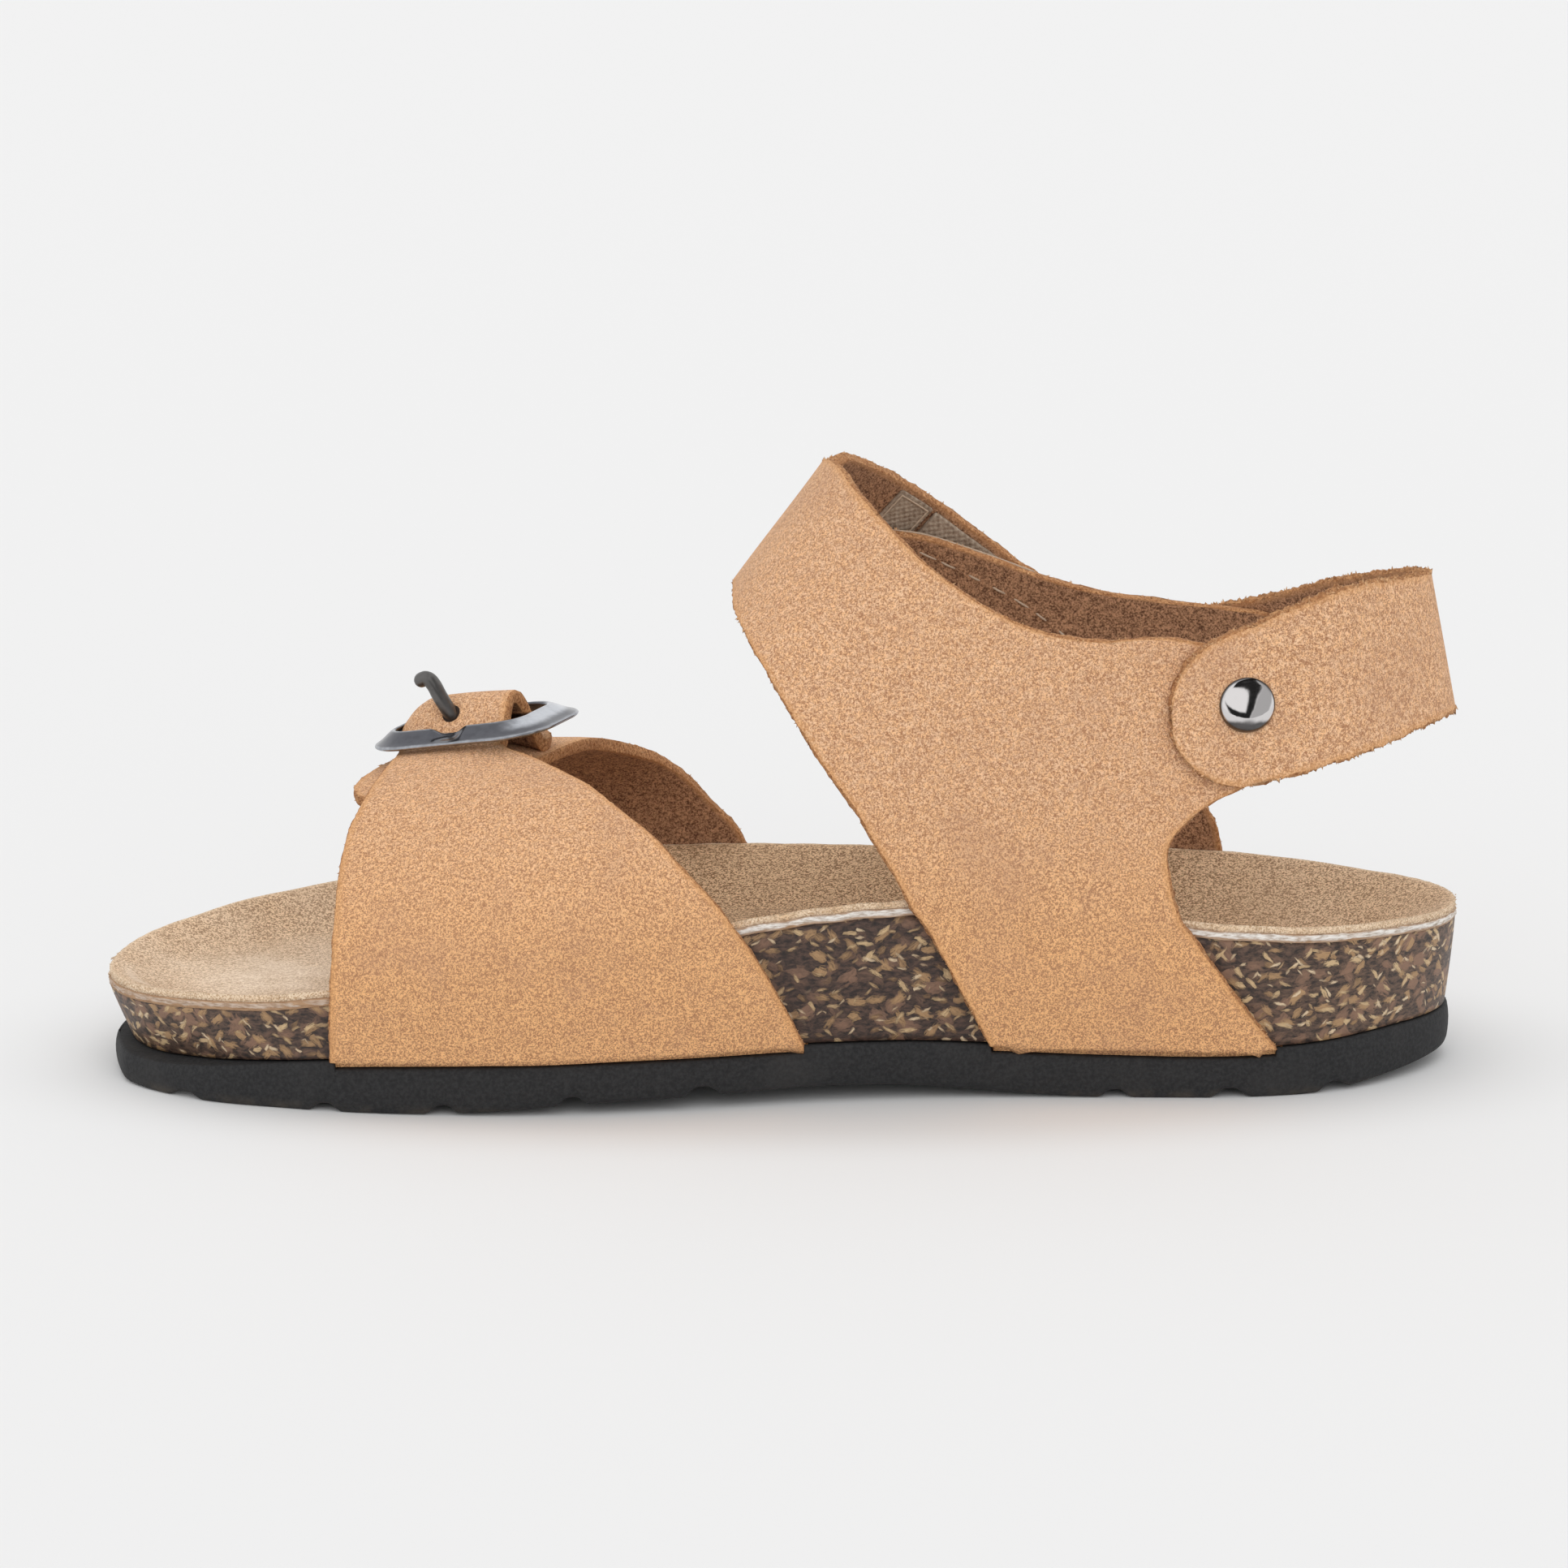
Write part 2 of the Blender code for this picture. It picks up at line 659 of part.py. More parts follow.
def rounded_rows(half_front, half_back, start, end, radius):
    """Rows of a strap end with round corners, in the buckle's frame, from start to end along q."""
    sign = math.copysign(1.0, end - start)
    rows = []
    for angle in np.radians(CORNER_TURNS):
        q = end - sign * radius * (1.0 - math.sin(angle))
        pull = radius * (1.0 - math.cos(angle))
        rows.append((q, half_front + pull, q, half_back - pull))
    return np.array(rows)


def arch_lift(q):
    """Rise of the tongue over the buckle's centre bar: one wave of a cosine."""
    wave = 0.5 + 0.5 * np.cos(np.pi * np.clip(q / ARCH_HALF, -1.0, 1.0))
    return ARCH_RISE * wave


def toe_medial_rows():
    over = np.arange(-ARCH_HALF, ARCH_HALF + 0.1, ARCH_HALF / 4.0)
    straight = np.stack([over, np.full_like(over, -TONGUE_HALF), over, np.full_like(over, TONGUE_HALF)], -1)
    tip = rounded_rows(-TONGUE_HALF, TONGUE_HALF, ARCH_HALF, TONGUE_END, TONGUE_HALF - 1.0)
    tongue = np.vstack([TONGUE[:, :4], straight, tip])
    body = lasted_rows(TOE_MEDIAL, 1)
    rows = np.vstack([body, buckle_rows(tongue)])
    start = len(body)
    lifts = np.full((len(rows), 2), GAP)
    lifts[start:] = LAP_LIFT + arch_lift(tongue[:, :1])
    lifts[start:start + len(TONGUE), 1] = TONGUE[:, 4]
    lifts[start - 1] = 0.5 * (lifts[start - 2] + lifts[start])
    return rows, lifts


def toe_lateral_rows():
    body = lasted_rows(TOE_LATERAL, 2)
    band = np.array([(q, UNDERLAY_FRONT, q, UNDERLAY_BACK) for q in UNDERLAY_ROWS[:, 0]])
    end = rounded_rows(UNDERLAY_FRONT, UNDERLAY_BACK, UNDERLAY_ROWS[-1, 0], UNDERLAY_END, UNDERLAY_ROUND)
    rows = np.vstack([body, buckle_rows(np.vstack([band, end]))])
    start = len(body)
    lifts = np.full((len(rows), 2), GAP)
    lifts[start:, 1] = UNDERLAY_ROWS[-1, 1]
    lifts[start:start + len(band), 1] = UNDERLAY_ROWS[:, 1]
    return rows, lifts


def ankle_medial_rows():
    body = lasted_rows(QUARTER_MEDIAL, 1)
    crest = np.array([(CREST_ROW[0], 90.0, CREST_ROW[1], 90.0)])
    far = side_rows(INSTEP_LATERAL, 2)
    rows = np.vstack([body, crest, far])
    rise = np.clip(np.arange(1, len(far) + 1) / CLOSURE_ROWS, 0.0, 1.0)
    lifts = np.full((len(rows), 2), GAP)
    lifts[-len(far):] += (CLOSURE_LIFT - GAP) * rise[:, None]
    return rows, lifts


def strap(name, rows_and_lifts, group, material):
    """Leather strap on its rows; a lateral one runs back to front, so that its outer face stays outside."""
    rows, lifts = rows_and_lifts
    way = subdivided(way_along(rows), STRAP_STEP)
    rising = rows[0, 1] < 90.0
    across = np.linspace(0.0, 1.0, STRAP_COLUMNS) if rising else np.linspace(1.0, 0.0, STRAP_COLUMNS)
    return shell(name, strap_surface(rows, lifts, way, across), LEATHER, group, material)


def toe_strap(group, cutters, material, hole):
    made = strap("toe_strap", toe_medial_rows(), group, material)
    under = strap("toe_lateral_piece", toe_lateral_rows(), cutters, material)
    combine(made, under, "UNION")
    combine(made, hole, "DIFFERENCE")
    return made


def heel_point(way, z):
    """Point of the last at a way round the heel and a height: negative ways are medial."""
    u = 1.0 - np.abs(way)
    x = length_at(u)
    medial = way <= 0.0
    turn = np.where(medial, turn_at_height(x, z, 1), turn_at_height(x, z, 2))
    return last(x, turn)


def heel_normal(way, z):
    """Outward direction of the last round the heel."""
    round_heel = heel_point(way + PROBE_U, z) - heel_point(way - PROBE_U, z)
    upwards = heel_point(way, z + PROBE) - heel_point(way, z - PROBE)
    normal = np.cross(round_heel, upwards)
    return normal / np.linalg.norm(normal, axis=-1, keepdims=True)


def heel_grid(lift):
    """Band round the heel with round ends, lifted off the last along its normal."""
    start, stop = HEEL_STRAP[0, 0], HEEL_STRAP[-1, 0]
    round_end = HEEL_END * (1.0 - np.cos(np.radians(END_TURNS)))
    middle = np.linspace(start + HEEL_END, stop - HEEL_END, HEEL_STATIONS)[1:-1]
    way = np.concatenate([start + round_end, middle, (stop - round_end)[::-1]])
    to_end = np.minimum(way - start, stop - way)
    full = np.sqrt(1.0 - np.clip(1.0 - to_end / HEEL_END, 0.0, 1.0) ** 2)
    centre = through(HEEL_STRAP[:, 0], HEEL_STRAP[:, 1], way)
    half = through(HEEL_STRAP[:, 0], HEEL_STRAP[:, 2], way) * full
    across = np.linspace(1.0, -1.0, HEEL_COLUMNS)
    z = centre[:, None] + half[:, None] * across
    w = np.broadcast_to(way[:, None], z.shape)
    return heel_point(w, z) + heel_normal(w, z) * lift


def rivet_frame(side):
    """Place and outward direction of a cap rivet on the heel strap's outer face."""
    way = np.array([-RIVET_WAY if side == 1 else RIVET_WAY])
    z = through(HEEL_STRAP[:, 0], HEEL_STRAP[:, 1], way)
    normal = heel_normal(way, z)[0]
    point = heel_point(way, z)[0] + normal * (LAP_LIFT + LEATHER)
    matrix = Vector(normal).to_track_quat("Z", "Y").to_matrix().to_4x4()
    matrix.translation = Vector(point) * MM
    return matrix


def round_cutter(name, radius, depth, matrix, cutters):
    bpy.ops.mesh.primitive_cylinder_add(vertices=16, radius=radius * MM, depth=depth * MM)
    tool = bpy.context.object
    tool.name = name
    for group in list(tool.users_collection):
        group.objects.unlink(tool)
    cutters.objects.link(tool)
    tool.matrix_world = matrix
    return tool


def ankle_strap(group, cutters, material):
    made = strap("ankle_strap", ankle_medial_rows(), group, material)
    rows = lasted_rows(QUARTER_LATERAL, 2)
    lateral = strap("lateral_quarter", (rows, np.full((len(rows), 2), GAP)), cutters, material)
    heel = shell("heel_strap", heel_grid(LAP_LIFT), LEATHER, cutters, material)
    combine(made, heel, "UNION")
    combine(made, lateral, "UNION")
    for side in (1, 2):
        place = rivet_frame(side)
        hole = round_cutter("rivet_hole_%d" % side, RIVET_SHANK_RADIUS + GAP, RIVET_HOLE_LENGTH, place, cutters)
        combine(made, hole, "DIFFERENCE")
    return made


def rivet(name, side, group, material):
    """Dome cap outside, shank through both leathers, flat head inside."""
    wall = 2.0 * LEATHER - FUSE
    rise = RIVET_CAP_HEIGHT - RIVET_CAP_WALL
    dome = [(RIVET_CAP_RADIUS * math.cos(a), GAP + RIVET_CAP_WALL + rise * math.sin(a))
            for a in np.radians(DOME_TURNS)]
    inner = -wall - GAP
    profile = dome + [(RIVET_CAP_RADIUS, GAP), (RIVET_SHANK_RADIUS, GAP), (RIVET_SHANK_RADIUS, inner),
                      (RIVET_INNER_RADIUS, inner), (RIVET_INNER_RADIUS, inner - RIVET_INNER_THICKNESS),
                      (0.0, inner - RIVET_INNER_THICKNESS)]
    mesh = bpy.data.meshes.new(name)
    points = [(r * MM, 0.0, z * MM) for r, z in profile]
    points[0] = (0.0, 0.0, points[0][2])
    mesh.from_pydata(points, [(i, i + 1) for i in range(len(points) - 1)], [])
    mesh.materials.append(material)
    made = bpy.data.objects.new(name, mesh)
    group.objects.link(made)
    turned = made.modifiers.new("Turned", "SCREW")
    turned.axis = "Z"
    turned.steps = RIVET_SIDES
    turned.render_steps = RIVET_SIDES
    turned.use_merge_vertices = True
    turned.merge_threshold = 1e-5
    made.matrix_world = rivet_frame(side)
    return made


def buckle_frame_matrix():
    """Plane of the buckle: it lies on the tongue, its bars across it."""
    def spot(q, b):
        x, y = buckle_plan(q, b)
        return last(np.array([x]), turn_in_plan(np.array([x]), np.array([y])))[0]

    along_b = Vector(spot(0.0, BUCKLE_REST) - spot(0.0, -BUCKLE_REST)).normalized()
    along_q = Vector(spot(BUCKLE_REST, 0.0) - spot(-BUCKLE_REST, 0.0)).normalized()
    up = along_b.cross(along_q).normalized()
    along_q = up.cross(along_b)
    lift = LAP_LIFT + LEATHER + GAP + 0.5 * FRAME_THICKNESS
    matrix = Matrix((along_b, along_q, up)).transposed().to_4x4()
    matrix.translation = (Vector(spot(0.0, 0.0)) + up * lift) * MM
    return matrix


def rounded_loop(length, width, corner, centre_y):
    """Rectangle with round corners, one quarter circle after another."""
    points = []
    for k, angle in enumerate((0.0, 90.0, 180.0, 270.0)):
        sx = 1.0 if k in (0, 3) else -1.0
        sy = 1.0 if k in (0, 1) else -1.0
        for turn in np.radians(angle + np.linspace(0.0, 90.0, 5)):
            points.append((sx * (length / 2 - corner) + corner * math.cos(turn),
                           centre_y + sy * (width / 2 - corner) + corner * math.sin(turn)))
    return points


def buckle_frame(group, material):
    """Flat frame: a rounded plate with two windows, the bar between them is the prong's."""
    curve = bpy.data.curves.new("buckle_frame", "CURVE")
    curve.dimensions = "2D"
    curve.fill_mode = "BOTH"
    curve.extrude = 0.5 * FRAME_THICKNESS * MM
    window = (FRAME_WIDTH - 2.0 * FRAME_BAR - CENTRE_BAR) / 2.0
    shift = 0.5 * (window + CENTRE_BAR)
    loops = [rounded_loop(FRAME_LENGTH, FRAME_WIDTH, FRAME_CORNER, 0.0)]
    for sign in (-1.0, 1.0):
        loops.append(rounded_loop(FRAME_LENGTH - 2.0 * FRAME_BAR, window, WINDOW_CORNER, sign * shift))
    for loop in loops:
        spline = curve.splines.new("POLY")
        spline.points.add(len(loop) - 1)
        spline.use_cyclic_u = True
        for place, (x, y) in zip(spline.points, loop):
            place.co = (x * MM, y * MM, 0.0, 1.0)
    curve.materials.append(material)
    made = bpy.data.objects.new("buckle_frame", curve)
    group.objects.link(made)
    made.matrix_world = buckle_frame_matrix()
    return made


def buckle_prong(group, material):
    """Bent wire through the rows of the prong's table."""
    curve = bpy.data.curves.new("buckle_prong", "CURVE")
    curve.dimensions = "3D"
    curve.bevel_depth = PRONG_RADIUS * MM
    curve.bevel_resolution = 2
    curve.use_fill_caps = True
    spline = curve.splines.new("POLY")
    stops = np.concatenate([[0.0], np.cumsum(np.linalg.norm(np.diff(PRONG, axis=0), axis=1))])
    way = np.linspace(0.0, stops[-1], PRONG_STATIONS)
    points = np.stack([through(stops, PRONG[:, k], way) for k in range(3)], -1)
    spline.points.add(len(points) - 1)
    for place, co in zip(spline.points, points):
        place.co = (*(co * MM), 1.0)
    curve.materials.append(material)
    made = bpy.data.objects.new("buckle_prong", curve)
    group.objects.link(made)
    made.matrix_world = buckle_frame_matrix()
    return made


def prong_hole(cutters):
    """Round hole through the near slope of the tongue, along the prong where it passes."""
    below, above = Vector(PRONG[HOLE_ROW]), Vector(PRONG[HOLE_ROW + 1])
    axis = (above - below).normalized()
    place = axis.to_track_quat("Z", "Y").to_matrix().to_4x4()
    place.translation = (0.5 * (below + above)) * MM
    matrix = buckle_frame_matrix() @ place
    return round_cutter("prong_hole", PRONG_HOLE_RADIUS, PRONG_HOLE_LENGTH, matrix, cutters)


def hook_patch(group, material):
    """Hook tape inside the end of the instep strap, one gap off its inner face."""
    rows, lifts = ankle_medial_rows()
    stops = way_along(rows)
    start = stops[len(QUARTER_MEDIAL) + PATCH_ROW]
    way = np.linspace(start, start + PATCH_LENGTH, 7)
    grid = strap_surface(rows, lifts - GAP - PATCH, way, np.linspace(PATCH_BORDER, 1.0 - PATCH_BORDER, 6))
    return shell("hook_patch", grid, PATCH, group, material)


def main():
    clear_scene()
    parts = new_collection("back_strap_sandal")
    cutters = new_collection("cutters")
    paint = {name: finish(name) for name in FINISHES}
    outsole(parts, paint["eva"])
    cork_footbed(parts, paint["cork"])
    layer("jute_layer", SUEDE + LAYER_GAP, JUTE, parts, paint["jute"])
    layer("insole", 0.0, SUEDE, parts, paint["suede"])
    toe_strap(parts, cutters, paint["nubuck"], prong_hole(cutters))
    ankle_strap(parts, cutters, paint["nubuck"])
    hook_patch(parts, paint["hook_tape"])
    buckle_frame(parts, paint["gunmetal"])
    buckle_prong(parts, paint["gunmetal"])
    rivet("rivet_medial", 1, parts, paint["gunmetal"])
    rivet("rivet_lateral", 2, parts, paint["gunmetal"])


main()
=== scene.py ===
"""Looks of a child's cork-footbed sandal for the right foot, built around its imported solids.

Tables are in millimetres and meshes in metres. The toe points to -X, the inner side of the foot faces -Y and
the floor is z = 0. The straps lie on a last: at each station x a section runs round the foot by its turn in
degrees, from the medial rim of the footbed (0) over the crest (90) to the lateral rim (180).
"""

import math

import bmesh
import bpy
import numpy as np
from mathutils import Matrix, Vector


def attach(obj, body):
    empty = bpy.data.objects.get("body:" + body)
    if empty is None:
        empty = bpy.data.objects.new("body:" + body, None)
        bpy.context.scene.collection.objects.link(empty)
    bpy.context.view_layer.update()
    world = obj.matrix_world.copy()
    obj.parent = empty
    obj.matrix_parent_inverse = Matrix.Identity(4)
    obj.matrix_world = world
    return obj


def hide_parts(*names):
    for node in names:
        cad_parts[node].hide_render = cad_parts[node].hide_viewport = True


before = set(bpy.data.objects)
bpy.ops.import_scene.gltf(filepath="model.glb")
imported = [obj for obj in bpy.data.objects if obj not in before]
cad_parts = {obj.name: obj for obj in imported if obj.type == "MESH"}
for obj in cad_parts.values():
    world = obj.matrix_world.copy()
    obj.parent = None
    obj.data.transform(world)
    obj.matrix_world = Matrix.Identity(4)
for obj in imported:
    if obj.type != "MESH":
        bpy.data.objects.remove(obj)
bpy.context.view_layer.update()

MM = 0.001
GAP = 0.3

# Points closer than the first become one, and edges shorter than the second go, both in metres
SAME_POINT = 2e-7
SLIVER = 1e-8

# Footbed layers and sole
LENGTH = 190.0
BALL_WIDTH = 73.0
SUEDE = 0.95
JUTE = 1.25
CORK_TAPER = 1.2
TOE_TAPER = 1.8
TOE_SPREAD = 1.4
TOE_DISH = 9.0
FOOT_DISH = 19.0
DISH_GROWS = (-80.0, -20.0)
DISH_START = -0.25
RIM_LIP = 0.32
FAR_LIP = 0.08
LIP_INSET = 1.6
LIP_WIDTH = 1.3
END_SHARE = 0.02
OUTLINE_POINTS = 260

# Paler spot of the suede under the big toe: place, then reach along and across the foot
BIG_TOE = (-71.0, -6.0)
SPOT_REACH = (17.0, 12.0)

# Straps
CREST_Y = -6.0
LEATHER = 1.8
CUT_BULGE = 0.22
MARGIN = 7.0
MARGIN_TURN = 30.0
HEM_RUN = 0.15
HEM_CLOSE = 0.12
HEM_LIFT = -0.5
DIP_POWER = 3.0
FOLD_SHARE = 0.4
LEVEL_TURN = 55.0
SWEPT_TURN = 85.0
LAYER_GAP = 0.05
LAP_LIFT = GAP + LEATHER + LAYER_GAP
CLOSURE_LIFT = 3.6
CLOSURE_ROWS = 3.0
HEEL_LEAN = 0.2
LEAN_FROM_HEIGHT = 27.0
LEAN_FROM_X = 55.0
LEAN_TO_X = 95.0
PROBE = 0.05
PROBE_U = 5e-4
TOE_STEP = 0.55
ANKLE_STEP = 0.6
END_STEPS = 24

# Buckle, in its own frame: b along the bars towards the heel, q along the tongue towards the outer side
BUCKLE_X = -43.6
BUCKLE_Y = -1.5
BUCKLE_YAW = math.radians(23.0)
BUCKLE_REST = 6.0
FRAME_LENGTH = 26.0
FRAME_WIDTH = 19.4
FRAME_BAR = 2.6
FRAME_CORNER = 4.5
FRAME_THICKNESS = 1.5
TONGUE_HALF = 7.6
ARCH_HALF = 6.2
ARCH_RISE = 5.8
SHOULDER = 2.4
SHOULDER_SHARE = 0.28
PRONG_RADIUS = 1.08
CENTRE_BAR_RADIUS = 1.0
CENTRE_BAR_INSET = 2.9
CENTRE_BAR_RAISE = 0.15
WIRE_SIDES = 18
FRAME_SHIFT = 0.9
SCOOP_B = 0.7
HOLE_ROW = 5
HOLE_RADIUS = 1.35

# Plan of the footbed rim: station from toe (0) to heel (1), half widths as shares of the ball width
PLAN = np.array([
    # station, medial, lateral
    (0.000, -0.106, -0.106),
    (0.026, -0.271, 0.134),
    (0.058, -0.342, 0.216),
    (0.090, -0.394, 0.284),
    (0.130, -0.438, 0.350),
    (0.180, -0.471, 0.409),
    (0.250, -0.495, 0.464),
    (0.330, -0.501, 0.496),
    (0.420, -0.472, 0.496),
    (0.520, -0.416, 0.464),
    (0.630, -0.379, 0.413),
    (0.740, -0.372, 0.373),
    (0.840, -0.368, 0.343),
    (0.910, -0.323, 0.282),
    (0.960, -0.229, 0.190),
    (0.985, -0.151, 0.108),
    (1.000, -0.024, -0.024),
])

# Heights along the shoe: rims of the footbed, its floor, and the outsole's top and bottom
HEIGHTS = np.array([
    # x, rim medial, rim lateral, floor, sole top, sole bottom
    (-95.0, 14.3, 14.3, 12.4, 4.7, 0.5),
    (-88.0, 14.6, 15.2, 12.1, 4.4, 0.0),
    (-80.0, 15.4, 16.4, 12.1, 5.2, 0.0),
    (-70.0, 16.4, 17.2, 12.3, 6.5, 0.0),
    (-60.0, 18.0, 17.8, 12.7, 7.4, 0.0),
    (-45.0, 20.7, 18.9, 13.3, 8.0, 0.4),
    (-28.0, 23.6, 20.2, 13.9, 8.4, 1.6),
    (-8.0, 26.8, 21.3, 15.6, 8.5, 2.2),
    (8.0, 28.5, 21.7, 17.0, 8.5, 2.5),
    (17.0, 28.9, 21.9, 17.2, 8.4, 2.2),
    (30.0, 28.3, 22.3, 16.8, 7.7, 1.0),
    (44.0, 27.0, 22.7, 15.8, 7.1, 0.1),
    (57.0, 25.5, 22.8, 14.9, 6.8, 0.0),
    (72.0, 24.3, 22.4, 14.6, 7.1, 0.0),
    (84.0, 23.7, 22.0, 14.9, 7.9, 1.1),
    (95.0, 22.6, 22.6, 16.0, 7.8, 2.2),
])

# Crest of the last, where the straps pass over the foot
CREST = np.array([
    # x, height
    (-75.0, 35.0),
    (-62.0, 38.6),
    (-45.0, 42.2),
    (-30.0, 44.6),
    (-20.0, 47.0),
    (-13.0, 54.0),
    (-6.0, 65.6),
    (6.0, 82.7),
    (40.0, 131.0),
    (95.0, 210.0),
])

# Grooves across the tread that cut the sole's lower edge into lugs
GROOVES = np.array([
    # x, width, depth
    (-83.0, 2.4, 1.2),
    (-63.5, 2.4, 1.4),
    (-47.0, 2.4, 1.4),
    (-29.0, 2.4, 1.4),
    (-11.0, 3.0, 1.6),
    (46.0, 2.4, 1.4),
    (62.0, 3.0, 1.6),
    (77.0, 2.4, 1.3),
])

# Strap edges seen from the side, from the sole up: one row a section, front edge then back edge
TOE_MEDIAL = np.array([
    # front x, front z, back x, back z
    (-62.0, 8.0, 2.5, 8.0),
    (-61.6, 16.0, -1.3, 16.4),
    (-61.2, 22.0, -5.2, 23.2),
    (-60.8, 26.6, -8.6, 28.3),
    (-60.3, 32.0, -13.6, 33.9),
    (-58.9, 35.6, -18.4, 38.1),
])
TOE_LATERAL = np.array([
    # front x, front z, back x, back z
    (-58.0, 8.0, 0.0, 8.0),
    (-57.6, 13.0, -3.4, 15.0),
    (-56.5, 18.5, -6.2, 21.5),
    (-53.0, 24.0, -10.8, 27.0),
    (-48.5, 28.2, -15.4, 32.0),
])
QUARTER_MEDIAL = np.array([
    # front x, front z, back x, back z
    (28.6, 8.0, 68.0, 8.0),
    (24.5, 16.0, 61.3, 16.3),
    (20.0, 24.4, 55.8, 24.2),
    (15.6, 31.8, 52.8, 31.9),
    (12.4, 37.2, 52.9, 37.4),
    (9.4, 42.4, 58.0, 42.5),
    (5.8, 47.4, 65.0, 46.4),
    (2.9, 52.0, 67.6, 53.0),
    (0.6, 55.6, 63.5, 61.6),
    (-0.9, 58.0, 53.0, 65.2),
    (-1.8, 60.0, 43.0, 64.8),
    (-2.9, 61.6, 34.6, 66.1),
    (-4.0, 63.4, 25.4, 70.5),
    (-4.8, 64.8, 17.6, 76.3),
    (-5.3, 65.8, 11.5, 82.4),
])
CREST_ROW = (-5.4, 7.6)
INSTEP_LATERAL = np.array([
    # front x, front z, back x, back z
    (-3.4, 64.8, 11.2, 81.6),
    (2.6, 60.4, 17.0, 77.0),
    (10.6, 53.6, 25.0, 70.6),
    (18.6, 47.4, 33.0, 64.4),
    (26.4, 42.0, 40.0, 59.4),
    (32.2, 39.8, 43.8, 54.6),
    (37.0, 41.0, 44.2, 49.4),
])
QUARTER_LATERAL = np.array([
    # front x, front z, back x, back z
    (29.0, 8.0, 69.0, 8.0),
    (25.0, 15.0, 65.4, 15.6),
    (21.0, 22.4, 63.2, 23.0),
    (17.6, 28.6, 61.4, 29.0),
    (14.6, 33.8, 61.2, 34.0),
    (11.8, 38.8, 64.5, 38.5),
    (9.2, 43.2, 70.0, 43.0),
    (7.0, 47.2, 73.6, 48.5),
    (5.2, 50.8, 74.4, 54.6),
    (4.0, 53.6, 72.4, 57.8),
    (3.2, 56.0, 65.0, 58.6),
    (3.0, 58.0, 53.0, 59.6),
    (3.0, 59.8, 40.0, 62.0),
    (3.4, 61.6, 30.0, 65.5),
    (4.4, 63.8, 21.4, 68.5),
    (6.2, 65.8, 14.0, 69.7),
])

# Tongue rows over the crest: front and back edge in the buckle's frame
TONGUE = np.array([
    # front q, front b, back q, back b, back lift
    (-21.0, -5.6, -13.8, 26.1, 0.7),
    (-16.0, -6.0, -11.2, 19.4, 1.0),
    (-11.6, -6.4, -8.6, 13.2, 1.6),
    (-8.4, -6.9, -6.8, 8.6, 2.15),
])
TONGUE_END = 13.5
UNDERLAY_FRONT = -11.0
UNDERLAY_BACK = 7.8
UNDERLAY_END = -18.5
UNDERLAY_ROUND = 5.0
UNDERLAY_ROWS = np.array([
    # q, back lift
    (27.0, -1.1),
    (18.0, -1.9),
    (8.0, -2.4),
    (-2.0, -2.4),
])

# Heel strap: way round the outline from the heel end, with the band's middle height and half width
HEEL_STRAP = np.array([
    # way round (negative medial, 0 at the heel end), middle height, half width
    (-0.312, 55.2, 10.6),
    (-0.270, 56.2, 10.8),
    (-0.236, 58.0, 11.2),
    (-0.200, 59.5, 11.3),
    (-0.150, 60.3, 10.9),
    (-0.090, 60.4, 10.1),
    (0.000, 59.1, 9.7),
    (0.066, 57.4, 9.8),
    (0.146, 54.5, 9.9),
    (0.200, 51.7, 10.1),
    (0.236, 49.6, 10.3),
    (0.270, 48.2, 10.4),
    (0.312, 47.7, 10.4),
])
HEEL_END = 0.052
END_POWER = 2.3
RIVET_WAY = 0.268
RIVET_RAISE = 0.35
RIVET_LEAN = 0.30

# Prong in the buckle's frame: hooked under the centre bar, up through the tongue, its end bent to the toe
PRONG = np.array([
    # b, q, height over the plate's middle
    (-0.2, 1.2, -1.60),
    (-0.2, -0.6, -1.62),
    (-0.2, -1.8, -1.10),
    (-0.2, -2.1, 0.10),
    (-0.2, -2.5, 1.10),
    (-0.4, -3.2, 2.10),
    (-0.9, -3.7, 3.60),
    (-1.6, -4.0, 5.60),
    (-2.15, -4.0, 7.05),
    (-2.7, -4.0, 7.85),
    (-3.3, -4.0, 8.10),
    (-3.9, -4.0, 7.95),
])

# Hook tape and sewn patch inside the instep strap: way along it, shares across it, thickness
TAPES = (
    # name, start, stop, low share, high share, thickness
    ("hook_tape", 147.6, 172.0, 0.12, 0.95, 0.8),
    ("sewn_patch", 141.0, 146.6, 0.12, 0.955, 0.4),
)
# Lines sewn through the outer quarter, on its inner face and along its top
STITCH_LINE = np.array([
    # x, height
    (19.0, 67.2),
    (27.5, 62.9),
    (34.5, 59.0),
    (41.5, 53.6),
    (50.0, 46.0),
])
TOP_THREAD = np.array([
    # x, height
    (14.6, 69.9),
    (19.2, 69.3),
    (26.2, 67.1),
    (36.0, 63.5),
])
STITCH_PITCH = 3.9
STITCH_LENGTH = 2.5
THREAD_RADIUS = 0.16
THREAD_SIDES = 8
PATCH_INSET = 0.3


def through(table_x, table_y, x):
    """Cubic curve through a table's rows, each row's slope taken from its neighbours."""
    slope = np.gradient(table_y, table_x)
    low = np.clip(np.searchsorted(table_x, x) - 1, 0, len(table_x) - 2)
    span = table_x[low + 1] - table_x[low]
    t = np.clip((x - table_x[low]) / span, 0.0, 1.0)
    ease = t * t * (3.0 - 2.0 * t)
    start = (t * (1.0 - t) ** 2) * span * slope[low]
    stop = (t * t * (t - 1.0)) * span * slope[low + 1]
    return table_y[low] * (1.0 - ease) + table_y[low + 1] * ease + start + stop


def smooth(low, high, x):
    """Rise from 0 at low to 1 at high, level at both ends."""
    t = np.clip((x - low) / (high - low), 0.0, 1.0)
    return t * t * (3.0 - 2.0 * t)


